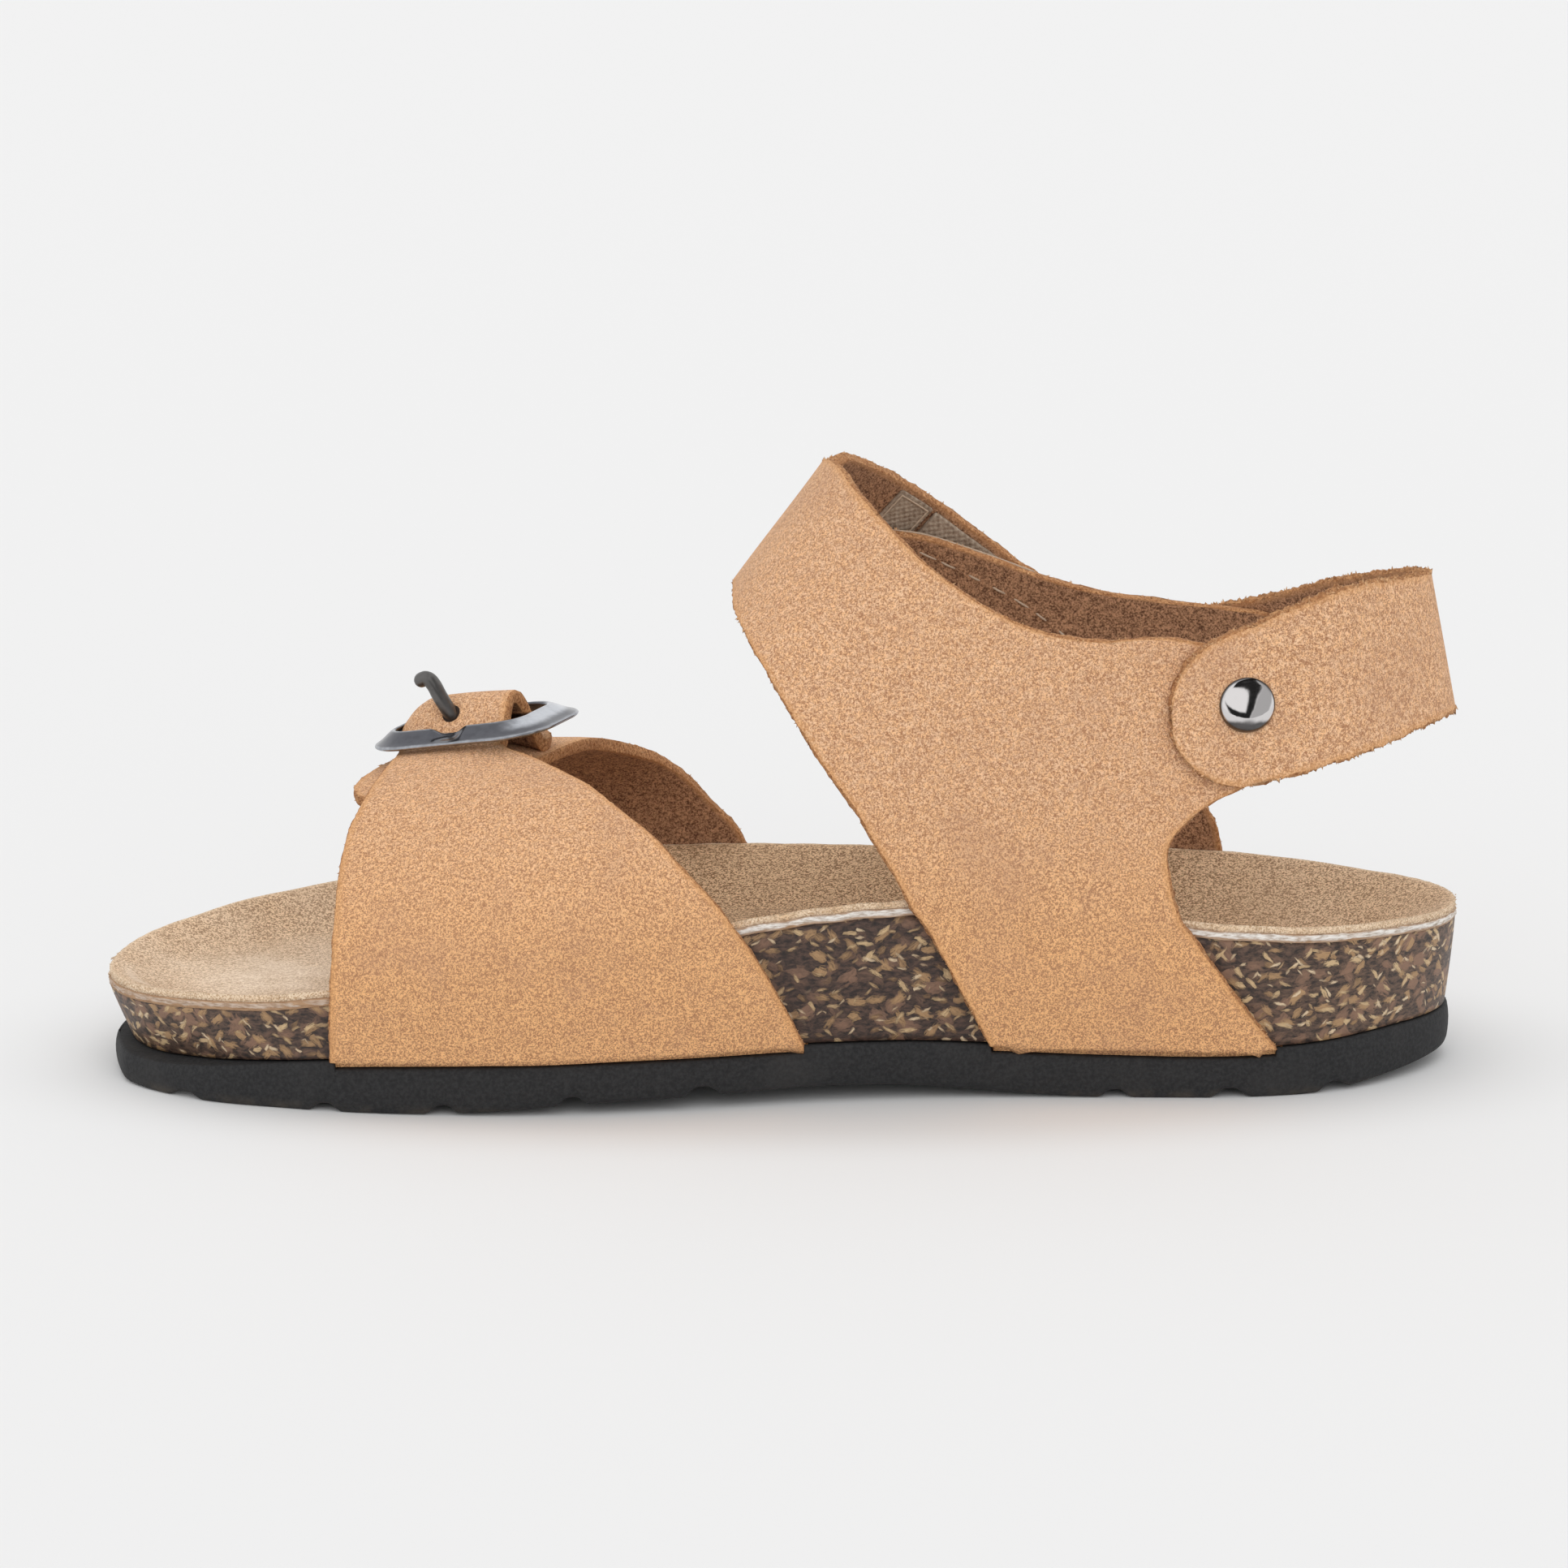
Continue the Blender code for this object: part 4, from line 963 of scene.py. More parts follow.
def nubuck_grain():
    """Grain side: light fibre ends over darker ground, broad handled patches, orange rims and hems."""
    paint = Paint("nubuck_grain", roughness=0.92)
    where = paint.place()
    along, _, up = paint.split(where)
    fine = paint.noise(where, 0.20, 2.0, 0.7)
    speck = paint.noise(where, 0.36, 2.0, 0.6)
    coarse = paint.noise(where, 0.80, 2.0, 0.6)
    hue = paint.noise(where, 0.70, 2.0, 0.6)
    shade = paint.noise(where, 4.0, 2.0, 0.5)
    patch = paint.noise(where, 17.0, 3.0, 0.55)
    heel = along.rise(0.045, 0.070)
    low = 1.0 - up.rise(0.018, 0.050)
    light = ((fine - 0.5) * 3.2 + (speck - 0.5) * 2.0) * (low * 0.35 + 1.0)
    light = light + (coarse - 0.5) * (heel * 1.3 + 0.15) + 0.5
    ends = paint.mix(hue.rise(0.35, 0.65), (0.900, 0.542, 0.290), (0.885, 0.580, 0.360))
    ends = paint.mix(low, ends, (0.865, 0.490, 0.225))
    ground = paint.mix(low, (0.395, 0.185, 0.090), (0.410, 0.200, 0.098))
    colour = paint.mix(light.rise(-0.1, 1.1), ground, ends)
    dull = patch.rise(0.48, 0.72) * 0.22 + shade.rise(0.50, 0.75) * 0.15
    colour = paint.mix(dull, colour, (0.455, 0.252, 0.158))
    worn = 1.0 - (paint.measure("rim") + (speck - 0.5) * 1.6).rise(0.0, 1.3)
    colour = paint.mix(worn * 0.50, colour, (0.660, 0.330, 0.125))
    return paint.finish(colour, relief=fine * 0.6 + speck * 0.6, depth_mm=0.16)


def nubuck_cut_edge():
    """Cut edge: orange-brown fibre, a little darker than the grain side."""
    paint = Paint("nubuck_cut_edge", roughness=0.95)
    where = paint.place()
    speck = paint.noise(where, 0.40, 3.0, 0.7)
    patch = paint.noise(where, 2.4, 2.0, 0.5)
    colour = paint.mix(speck.rise(0.32, 0.68), (0.250, 0.092, 0.032), (0.680, 0.360, 0.160))
    colour = paint.mix(patch.rise(0.45, 0.7) * 0.5, colour, (0.430, 0.190, 0.075))
    return paint.finish(colour, relief=speck, depth_mm=0.3)


def nubuck_nap():
    """Loose fibre ends: light orange, each a little different."""
    paint = Paint("nubuck_nap", roughness=0.95)
    tone = paint.noise(paint.place(), 0.6, 2.0, 0.6)
    return paint.finish(paint.mix(tone.rise(0.3, 0.7), (0.420, 0.200, 0.085), (0.800, 0.490, 0.260)))


def nubuck_flesh():
    """Flesh side: brown, with longer loose nap whose ends are orange."""
    paint = Paint("nubuck_flesh", roughness=0.97)
    where = paint.place()
    speck = paint.noise(where, 0.28, 3.0, 0.7)
    clump = paint.noise(where, 0.75, 2.0, 0.6)
    light = (speck - 0.5) * 3.2 + (clump - 0.5) * 1.4 + 0.5
    colour = paint.mix(light.rise(-0.1, 1.1), (0.110, 0.048, 0.024), (0.575, 0.315, 0.175))
    worn = 1.0 - (paint.measure("rim") + (speck - 0.5) * 1.0).rise(0.1, 0.9)
    colour = paint.mix(worn * 0.55, colour, (0.560, 0.280, 0.120))
    return paint.finish(colour, relief=speck * 0.7 + clump * 0.6, depth_mm=0.35)


def flakes(paint, where, size_mm, slim, seed):
    """Chips lying at random turns: each Voronoi cell holds one stretched spot about its own point.

    A chip's size changes from cell to cell, and noise drawn out along the chip tears its ends and streaks it.
    Gives the spot's mask, a random number of its cell and its tone.
    """
    shifted = paint.vector("ADD", where, (seed * 0.137, seed * 0.071, 0.0))
    node = paint.node("ShaderNodeTexVoronoi", {"voronoi_dimensions": "2D"}, {
        "Vector": shifted, "Scale": 1000.0 / size_mm, "Randomness": 1.0,
    })
    offset = paint.vector("SUBTRACT", shifted, Value(paint, node.outputs["Position"]))
    across, up, _ = paint.split(offset)
    chance = paint.node("ShaderNodeSeparateColor", {}, {0: Value(paint, node.outputs["Color"])})
    first, second, third = [Value(paint, socket) for socket in chance.outputs]
    turn = (first - 0.5) * 2.0
    sin, cos = turn.math("SINE"), turn.math("COSINE")
    long_way = (across * cos + up * sin) * (1000.0 / size_mm)
    short_way = (up * cos - across * sin) * (1000.0 / size_mm * slim)
    drawn = paint.node("ShaderNodeCombineXYZ", {}, {0: long_way * 0.9, 1: short_way * 1.5, 2: third * 40.0})
    streak = paint.node("ShaderNodeTexNoise", {}, {
        "Vector": Value(paint, drawn.outputs[0]), "Scale": 2.6, "Detail": 3.0, "Roughness": 0.6,
    })
    streak = Value(paint, streak.outputs["Fac"])
    far = (long_way * long_way + short_way * short_way).math("SQRT")
    reach = far / (third * 0.8 + 0.6) + (streak - 0.5) * 1.3
    return 1.0 - reach.rise(0.26, 0.54), second, streak * 1.2 + third * 0.35


def cork():
    """Pressed cork: streaky dark binder under shredded brown, golden and straw chips, with a faint gloss."""
    paint = Paint("pressed_cork", roughness=0.50)
    flat = paint.uv()
    along, _, _ = paint.split(flat)
    sway = paint.node("ShaderNodeTexNoise", {}, {"Vector": flat, "Scale": 500.0, "Detail": 2.0})
    bend = paint.vector("SUBTRACT", Value(paint, sway.outputs["Color"]), (0.5, 0.5, 0.5))
    where = paint.vector("ADD", flat, paint.vector("MULTIPLY", bend, (0.0010, 0.0010, 0.0)))
    streaks = paint.noise(paint.vector("MULTIPLY", where, (0.45, 1.0, 1.0)), 0.55, 4.0, 0.7)
    colour = paint.mix(streaks.rise(0.34, 0.68), (0.014, 0.009, 0.008), (0.092, 0.052, 0.037))
    relief = streaks * 0.5
    way = along.math("ABSOLUTE")
    ends = way.rise(0.150, 0.200) * 0.26 + (1.0 - way.rise(0.020, 0.050)) * 0.20
    layers = (
        # size in mm, slimness, share shown, dark colour, light colour
        (3.0, 1.7, 0.80, (0.040, 0.023, 0.018), (0.235, 0.130, 0.082)),
        (2.4, 2.2, 0.66, (0.078, 0.041, 0.021), (0.420, 0.255, 0.122)),
        (2.1, 3.4, 0.52, (0.150, 0.082, 0.036), (0.640, 0.455, 0.250)),
        (1.5, 3.6, 0.26, (0.200, 0.122, 0.064), (0.740, 0.575, 0.380)),
    )
    for seed, (size, slim, shown, dark, light) in enumerate(layers):
        mask, chosen, tone = flakes(paint, where, size, slim, seed + 1)
        mask = mask * (1.0 - chosen.rise(shown - 0.02, shown + 0.02))
        colour = paint.mix(mask * 0.92, colour, paint.mix((tone + ends).rise(0.38, 1.12), dark, light))
        relief = relief + mask * 0.3
    colour = paint.mix(ends * streaks.rise(0.3, 0.7), colour, (0.330, 0.205, 0.125))
    return paint.finish(colour, relief=relief, depth_mm=0.12)


def suede():
    """Insole suede: tan nap, fine dark fibres along the foot, a pale fibrous rim, paler worn ends, a painted
    lip highlight.
    """
    paint = Paint("insole_suede", roughness=0.93)
    where = paint.place()
    lying = paint.vector("MULTIPLY", where, (0.85, 1.0, 1.0))
    speck = paint.noise(lying, 0.24, 2.0, 0.7)
    fibre = paint.noise(lying, 0.48, 2.0, 0.6)
    patch = paint.noise(where, 20.0, 2.0, 0.5)
    rubbed = paint.noise(where, 7.0, 3.0, 0.6)
    # The worn value holds the wear and a painted highlight along the medial lip
    worn = (paint.measure("worn") * (rubbed * 1.6 + 0.2)).math("MINIMUM", 1.0)
    light = ((speck - 0.5) * 3.0 + (fibre - 0.5) * 2.0) * (1.8 - worn) + 0.5
    ground = paint.mix(worn, (0.245, 0.133, 0.064), (0.640, 0.460, 0.310))
    ends = paint.mix(worn, (0.835, 0.572, 0.345), (0.960, 0.800, 0.630))
    colour = paint.mix(light.rise(-0.1, 1.1), ground, ends)
    colour = paint.mix(fibre.rise(0.62, 0.74) * (1.0 - worn) * 0.45, colour, (0.160, 0.092, 0.048))
    colour = paint.mix(patch.rise(0.45, 0.75) * 0.18, colour, (0.380, 0.245, 0.140))
    rim = 1.0 - (paint.measure("rim") + (speck - 0.5) * 1.3).rise(0.20, 0.80)
    fibrous = paint.mix(speck.rise(0.3, 0.7), (0.480, 0.300, 0.165), (0.930, 0.770, 0.580))
    colour = paint.mix(rim * 0.9, colour, fibrous)
    return paint.finish(colour, relief=speck * 0.7 + fibre * 0.4, depth_mm=0.13)


def lint():
    """Loose pale fibres of the suede's cut edge."""
    paint = Paint("suede_lint", roughness=0.95)
    tone = paint.noise(paint.place(), 0.7, 2.0, 0.6)
    return paint.finish(paint.mix(tone.rise(0.3, 0.7), (0.520, 0.350, 0.210), (0.850, 0.700, 0.530)))


def jute():
    """Pale cut cloth: white threads streaked along the edge, a brown line over them, tan lint and a tan foot.

    The brown line is painted shade under the suede's edge. Towards the toe the cloth is more tan.
    """
    paint = Paint("jute_cloth", roughness=0.95)
    where = paint.uv()
    along, _, _ = paint.split(where)
    strand = paint.noise(paint.vector("MULTIPLY", where, (0.22, 1.0, 1.0)), 0.32, 3.0, 0.6)
    fluff = paint.noise(paint.vector("MULTIPLY", where, (0.40, 1.0, 1.0)), 0.9, 3.0, 0.6)
    patch = paint.noise(where, 7.0, 2.0, 0.5)
    colour = paint.mix(strand.rise(0.30, 0.62), (0.430, 0.340, 0.270), (0.840, 0.800, 0.750))
    depth = paint.measure("depth") + (fluff - 0.5) * 0.55
    tan = paint.mix(strand, (0.210, 0.105, 0.052), (0.600, 0.390, 0.235))
    toe = (1.0 - along.math("ABSOLUTE").rise(0.045, 0.075)) * 0.75
    # The brown top of the band is painted shade under the suede's edge; the tan bottom is the cloth's foot
    share = depth.rise(0.62, 0.86) * 0.85 + (1.0 - depth.rise(0.06, 0.24)) * 0.85
    share = share + toe * (fluff + 0.4) + patch.rise(0.52, 0.72) * 0.55 * fluff.rise(0.4, 0.6)
    colour = paint.mix(share.math("MINIMUM", 1.0), colour, tan)
    return paint.finish(colour, relief=strand, depth_mm=0.2)


def eva():
    """Foam sole: near-black skin with a fine pressed grain, paler in patches along the lower edge."""
    paint = Paint("eva_foam", roughness=0.80)
    where = paint.place()
    pressed = paint.noise(where, 0.5, 3.0, 0.6)
    cloud = paint.noise(where, 9.0, 3.0, 0.5)
    colour = paint.mix(pressed.rise(0.3, 0.75), (0.0105, 0.0105, 0.0115), (0.026, 0.026, 0.027))
    colour = paint.mix(cloud.rise(0.5, 0.75) * 0.35, colour, (0.036, 0.034, 0.033))
    _, _, up = paint.split(where)
    # Paler in patches towards the lower edge
    paler_lower_edge = (1.0 - (up * 1000.0).rise(0.1, 1.8)) * paint.noise(where, 2.5, 2.0, 0.5).rise(0.35, 0.7)
    colour = paint.mix(paler_lower_edge * 0.35, colour, (0.120, 0.095, 0.070))
    return paint.finish(colour, relief=pressed, depth_mm=0.08)


def dark_metal(name, colour, bare, rough):
    """Plated metal: dark and glossy, faint rubbing marks, paler by the worn value: wear and painted light."""
    paint = Paint(name, metallic=1.0)
    rubbed = paint.noise(paint.place(), 1.2, 4.0, 0.65)
    # The worn value holds wear, a painted highlight on the buckle's heel end and a painted dark reflection on
    # the rivets' lower edge
    worn = (paint.measure("worn") + (rubbed - 0.5) * 0.5).rise(0.12, 0.95)
    darker = tuple(0.6 * channel for channel in colour)
    plating = paint.mix(rubbed.rise(0.35, 0.75) * 0.5, colour, darker)
    tone = paint.mix(worn, plating, bare)
    return paint.finish(tone, rubbed * 0.10 + rough, relief=rubbed, depth_mm=0.006)


def hook_tape():
    """Hook tape: greyish tan woven ground, clouded by its tiny hooks."""
    paint = Paint("hook_tape", roughness=0.75)
    across, along, _ = paint.split(paint.uv())
    hooks = (across * 6000.0).math("SINE") * (along * 6000.0).math("SINE") * 0.5 + 0.5
    place = paint.place()
    speck = paint.noise(place, 0.5, 3.0, 0.7)
    cloud = paint.noise(place, 2.5, 2.0, 0.5)
    light = hooks * 0.16 + speck * 0.7 + cloud * 0.4
    colour = paint.mix(light.rise(0.35, 0.95), (0.200, 0.138, 0.092), (0.500, 0.405, 0.310))
    return paint.finish(colour, relief=hooks * 0.5 + speck * 0.8, depth_mm=0.25)


def thread():
    """Sewing thread: pale tan, twisted."""
    paint = Paint("sewing_thread", roughness=0.7)
    twist = paint.noise(paint.place(), 0.3, 2.0, 0.6)
    colour = paint.mix(twist, (0.340, 0.235, 0.160), (0.640, 0.510, 0.380))
    return paint.finish(colour, relief=twist, depth_mm=0.05)


def edge_distance(x, y):
    """Distance of plan points from the footbed's outline, to the nearest of many points round it."""
    u = np.linspace(0.0, 1.0, OUTLINE_POINTS)
    ring = np.concatenate([np.stack(outline(u, side, 0.0), -1) for side in (1, 2)])
    gap = np.stack([x, y], -1).reshape(-1, 1, 2) - ring[None]
    return np.sqrt((gap ** 2).sum(-1).min(1)).reshape(x.shape)


def footbed_grid(u, across):
    """Plan grid of the footbed: rows across it at each station, from the medial to the lateral edge."""
    u, across = np.broadcast_arrays(u, across)
    medial_x, medial_y = outline(u, 1, 0.0)
    lateral_x, lateral_y = outline(u, 2, 0.0)
    share = 0.5 + 0.5 * across
    return u, medial_x + (lateral_x - medial_x) * share, medial_y + (lateral_y - medial_y) * share


def off_the_ends(u):
    """0 at the toe and heel points of the outline, 1 a little way off them."""
    return smooth(0.0, END_SHARE, u) * smooth(1.0, 1.0 - END_SHARE, u)


def footbed_top(u, across, below):
    """Dished top: a smooth step from the rim down to the floor over the dish's width, with a small lip."""
    u, x, y = footbed_grid(u, across)
    station = length_at(u)
    medial, lateral = height(station, 1), height(station, 2)
    side = 0.5 + (smooth(-1.0, 1.0, across) - 0.5) * off_the_ends(u)
    rim = medial + (lateral - medial) * side
    inward = edge_distance(x, y)
    width = TOE_DISH + (FOOT_DISH - TOE_DISH) * smooth(*DISH_GROWS, x)
    at_rim = smooth(DISH_START, 1.0, 0.0)
    share = smooth(DISH_START, 1.0, inward / width)
    share = np.clip((share - at_rim) / (1.0 - at_rim), 0.0, 1.0)
    lip = (RIM_LIP + (FAR_LIP - RIM_LIP) * side) * np.exp(-((inward - LIP_INSET) / LIP_WIDTH) ** 2)
    z = rim - (rim - height(x, 3)) * share + lip * (1.0 - share) - below
    return np.stack([x, y, z], -1), inward


# Stations along the footbed, a little closer at the round ends, and the points of a layer's rings
EVEN_STATIONS = np.linspace(0.0, 1.0, 261)
STATIONS = 0.35 * (0.5 - 0.5 * np.cos(np.pi * EVEN_STATIONS)) + 0.65 * EVEN_STATIONS
LAYER_COLUMNS = 13
CLOTH_SHARES = np.linspace(0.0, 1.0, 7)[1:-1]
CORK_SHARES = np.linspace(0.0, 1.0, 19)[1:]


def outline_run(u, side):
    """Distance along the outline from the toe, for the cork's and cloth's own measure."""
    return travelled(np.stack(outline(u, side, 0.0), -1))


def wall_uv(rings, wall):
    """Surface measure of a layer: way round the outline and height, mirrored on the lateral side.

    A ring is the top, the lateral wall, the bottom if it has one and the medial wall; each wall has as many
    points as the other.
    """
    medial, lateral = outline_run(STATIONS, 1)[:, None], outline_run(STATIONS, 2)[:, None]
    top_share = np.linspace(0.0, 1.0, LAYER_COLUMNS)
    low_share = np.linspace(1.0, 0.0, rings.shape[1] - LAYER_COLUMNS - 2 * wall)
    share = np.concatenate([top_share, np.ones(wall), low_share, np.zeros(wall)])
    way = medial * (1.0 - share) - lateral * share
    return np.stack([way, rings[..., 2]], -1) * MM


def closed_loft(name, rings, paint, uv=None, values=None):
    """Closed body through rings along the shoe; the end rings fold flat at toe and heel."""
    quads = grid_quads(rings.shape[0], rings.shape[1], True)[:, ::-1]
    return put(name, rings, quads, [paint], None, uv, values)


def insole_piece(paint):
    """Suede sheet over the dish, its cut edge a little rough; worn where the big toe lay; painted lip
    highlight.
    """
    across = np.sin(0.5 * np.pi * np.linspace(-1.0, 1.0, 91))
    u = STATIONS[:, None]
    top, inward = footbed_top(u, across[None], 0.0)
    low, low_inward = footbed_top(u, across[None, ::-10], SUEDE)
    rings = np.concatenate([top, low], 1)
    x, y = top[..., 0], top[..., 1]
    spot_x, spot_y = (x - BIG_TOE[0]) / SPOT_REACH[0], (y - BIG_TOE[1]) / SPOT_REACH[1]
    spot = 0.72 * np.exp(-spot_x ** 2 - spot_y ** 2)
    pale = 0.30 * smooth(-40.0, -70.0, x) + 0.18 * smooth(40.0, 75.0, x)
    # A paler line along the medial lip near the toe is a painted highlight, kept in the worn value with the
    # wear
    edge = 0.60 * np.exp(-((inward - 2.8) / 0.9) ** 2) * smooth(-50.0, -75.0, x) * smooth(-2.0, -14.0, y)
    worn = np.clip(spot + pale + edge, 0.0, 1.0)
    worn = np.concatenate([worn, np.zeros(low.shape[:2])], 1)
    rim = np.concatenate([inward, low_inward], 1)
    fitted(closed_loft("insole_suede", rings, paint, None, {"worn": worn, "rim": rim}), "insole")
    fitted(fuzz("insole_edge_nap", top[8:-8], SUEDE, 5.0, 0.24, 700, lint()), "insole")


def layer_rings(below_top, below_low, stand_out, seed):
    """Rings of a thin layer under the suede: top, side wall frayed by a random walk, bottom."""
    across = np.linspace(-1.0, 1.0, LAYER_COLUMNS)
    u = STATIONS[:, None]
    top, _ = footbed_top(u, across[None], below_top)
    low, _ = footbed_top(u, across[None, ::-1], below_low)
    walls = []
    for side, upper, lower in ((2, top[:, -1], low[:, 0]), (1, low[:, -1], top[:, 0])):
        far_x, far_y = outline(STATIONS, side, -1.0)
        near_x, near_y = outline(STATIONS, side, 0.0)
        out = np.stack([far_x - near_x, far_y - near_y, np.zeros_like(far_x)], -1)
        wall = upper[:, None] + (lower - upper)[:, None] * CLOTH_SHARES[None, :, None]
        seeds = seed + 10 * side + np.arange(len(CLOTH_SHARES))
        fray = np.stack([wander(len(STATIONS), number, (1, 2)) for number in seeds], 1)
        bulge = stand_out * np.sin(np.pi * CLOTH_SHARES)[None] + 0.07 * fray
        bulge = bulge * off_the_ends(STATIONS)[:, None]
        walls.append(wall + out[:, None] * bulge[..., None])
    return np.concatenate([top, walls[0], low, walls[1]], 1)


def jute_piece(paint):
    """Cloth layer seen as a pale band under the suede."""
    rings = layer_rings(SUEDE + 0.01, SUEDE + JUTE, 0.12, 40)
    top, low = np.zeros(LAYER_COLUMNS), np.ones(LAYER_COLUMNS)
    depth = np.concatenate([top, CLOTH_SHARES, low, CLOTH_SHARES[::-1]])
    depth = np.broadcast_to(depth, rings.shape[:2])
    made = closed_loft("jute_band", rings, paint, wall_uv(rings, len(CLOTH_SHARES)), {"depth": depth})
    fitted(made, "jute_layer")


def cork_piece(paint):
    """Cork body: dished top under the cloth, walls that lean in towards the sole, flat seat."""
    u = STATIONS[:, None]
    top, _ = footbed_top(u, np.linspace(-1.0, 1.0, LAYER_COLUMNS)[None], SUEDE + JUTE + 0.01)
    walls = {}
    for side, upper in ((1, top[:, 0]), (2, top[:, -1])):
        toe = TOE_TAPER * smooth(-66.0, -90.0, length_at(STATIONS))
        columns = []
        for share in CORK_SHARES:
            inset = CORK_TAPER * share ** 1.3 + toe * share
            columns.append(np.stack(outline(STATIONS, side, inset), -1))
        plan = np.stack(columns, 1)
        seat = seat_height(plan[..., 0])
        z = upper[:, None, 2] + (seat - upper[:, None, 2]) * CORK_SHARES
        walls[side] = np.concatenate([plan, z[..., None]], -1)
    rings = np.concatenate([top, walls[2], walls[1][:, ::-1]], 1)
    uv = wall_uv(rings, len(CORK_SHARES))
    fitted(closed_loft("cork_body", rings, paint, uv), "cork_footbed")


# Side of the sole from its top edge to the tread: inset from the rim, share of the height
SOLE_SIDE = np.array([
    # inset, height share
    (1.25, 1.000),
    (0.95, 0.985),
    (0.82, 0.940),
    (0.66, 0.780),
    (0.58, 0.600),
    (0.60, 0.420),
    (0.66, 0.270),
    (0.76, 0.140),
    (0.95, 0.050),
    (1.40, 0.000),
])
SOLE_SINK = 1.1
SINK_FROM = 0.1
SINK_TO = 0.4
SINK_STEP = 0.06
SEAT_EDGE = 0.9
SEAT_INSETS = (12.0, 6.0)
SEAT_SHARE = 0.42
GROOVE_SHARE = 0.8


def sole_piece(paint):
    """Foam sole: flat top sunk under the lasting margins, bulged side, tread with rounded cross grooves."""
    spans = [(1, TOE_MEDIAL), (2, TOE_LATERAL), (1, QUARTER_MEDIAL), (2, QUARTER_LATERAL)]
    stops = [length_at(np.linspace(0.0, 1.0, 301))]
    for _, table in spans:
        for x in (table[0, 0] + SINK_FROM, table[0, 2] + SINK_TO):
            stops.append(x + np.array([-SINK_STEP, SINK_STEP]))
    for x, width, _ in GROOVES:
        stops.append(x + width * np.linspace(-1.1, 1.1, 23))
    x = np.unique(np.round(np.concatenate(stops), 3))
    u = share_of(x)
    cut = np.zeros_like(x)
    for centre, width, depth in GROOVES:
        away = smooth(0.15, 1.05, np.abs(x - centre) / width)
        cut = np.maximum(cut, GROOVE_SHARE * depth * (1.0 - away))
    top, foot = height(x, 4), np.maximum(height(x, 5), 0.0) + cut
    sides = {}
    for side in (1, 2):
        sink = np.zeros_like(x)
        for which, table in spans:
            inside = (x > table[0, 0] + SINK_FROM) & (x < table[0, 2] + SINK_TO)
            sink = np.where(inside & (which == side), SOLE_SINK, sink)
        upper = top - sink
        columns = []
        for inset in SEAT_INSETS:
            edge_x, near = outline(u, side, SEAT_EDGE)
            far = outline(u, 3 - side, SEAT_EDGE)[1]
            pull = np.minimum(inset, SEAT_SHARE * np.abs(far - near))
            columns.append(np.stack([edge_x, near + np.sign(far - near) * pull, upper], -1))
        spread = TOE_SPREAD * smooth(-68.0, -84.0, x) * smooth(-95.0, -91.0, x) * (2 - side)
        for inset, share in SOLE_SIDE:
            plan = outline(u, side, inset - spread)
            columns.append(np.stack([*plan, foot + (upper - foot) * share], -1))
        sides[side] = np.stack(columns, 1)
    rings = np.concatenate([sides[1], sides[2][:, ::-1]], 1)[:, ::-1]
    fitted(closed_loft("foam_sole", rings, paint), "outsole")


def buckle_axes():
    """Place and axes of the buckle's plane: b along the bars, q along the tongue, up out of the strap."""
    def spot(q, b):
        """Point of the last under a place in the buckle's frame."""
        x, y = buckle_plan(q, b)
        return last(np.array([x]), turn_in_plan(np.array([x]), np.array([y])))[0][0]

    along_b = unit(spot(0.0, BUCKLE_REST) - spot(0.0, -BUCKLE_REST))
    up = unit(np.cross(along_b, spot(BUCKLE_REST, 0.0) - spot(-BUCKLE_REST, 0.0)))
    axes = np.stack([along_b, np.cross(up, along_b), up])
    lift = GAP + 2.0 * LEATHER + GAP + 0.5 * FRAME_THICKNESS
    return spot(0.0, 0.0) + up * lift, axes


def from_buckle(points):
    """Points given as b, q and height in the buckle's frame, in the shoe's frame."""
    place, axes = buckle_axes()
    return place + np.asarray(points) @ axes


def rounded_path(length, width, corner, steps):
    """Closed rectangle path with round corners: places and outward directions, evenly stepped by length."""
    straight_b, straight_q = length - 2.0 * corner, width - 2.0 * corner
    arc = 0.5 * np.pi * corner
    total = 2.0 * (straight_b + straight_q) + 4.0 * arc
    s = np.linspace(0.0, total, steps, endpoint=False)
    pieces = np.cumsum([0.0, straight_q, arc, straight_b, arc, straight_q, arc, straight_b, arc])
    heading = np.array([0.0, 0.0, 0.5, 0.5, 1.0, 1.0, 1.5, 1.5, 2.0]) * np.pi
    outward = np.interp(s, pieces, heading)
    direction = np.stack([np.cos(outward), np.sin(outward)], -1)
    tangent = np.stack([-np.sin(outward), np.cos(outward)], -1)
    step = np.roll(tangent, 1, 0) + tangent
    walk = np.concatenate([[np.zeros(2)], np.cumsum(0.5 * step[1:] * (total / steps), 0)])
    walk -= 0.5 * (walk.max(0) + walk.min(0))
    return walk, direction


# Buckle bar's section: place outwards from the middle of the bar, height over the plate's middle
BAR_SECTION = np.array([
    # out, up
    (1.72, -0.72),
    (1.86, -0.50),
    (1.74, -0.26),
    (1.20, 0.02),
    (0.55, 0.42),
    (-0.15, 0.92),
    (-0.80, 1.34),
    (-1.15, 1.46),
    (-1.38, 1.30),
    (-1.40, 0.95),
    (-0.90, 0.35),
    (-0.20, -0.20),
    (0.70, -0.62),
    (1.40, -0.82),
])
RING_CORNER = FRAME_CORNER + 0.8
RING_STEPS = 240
SECTION_STEPS = 42
HEEL_BROADER = 0.3
NOTCH_HALF = 2.1
NOTCH_DEPTH = 0.85


def closed_curve(table, count):
    """Smooth closed loop through a table's rows: the cubic curve, with the rows repeated round."""
    repeated = np.vstack([table[-3:], table, table[:4]])
    places = np.arange(-3, len(table) + 4, dtype=float)
    t = np.linspace(0.0, len(table), count, endpoint=False)
    return np.stack([through(places, repeated[:, k], t) for k in range(table.shape[1])], -1)


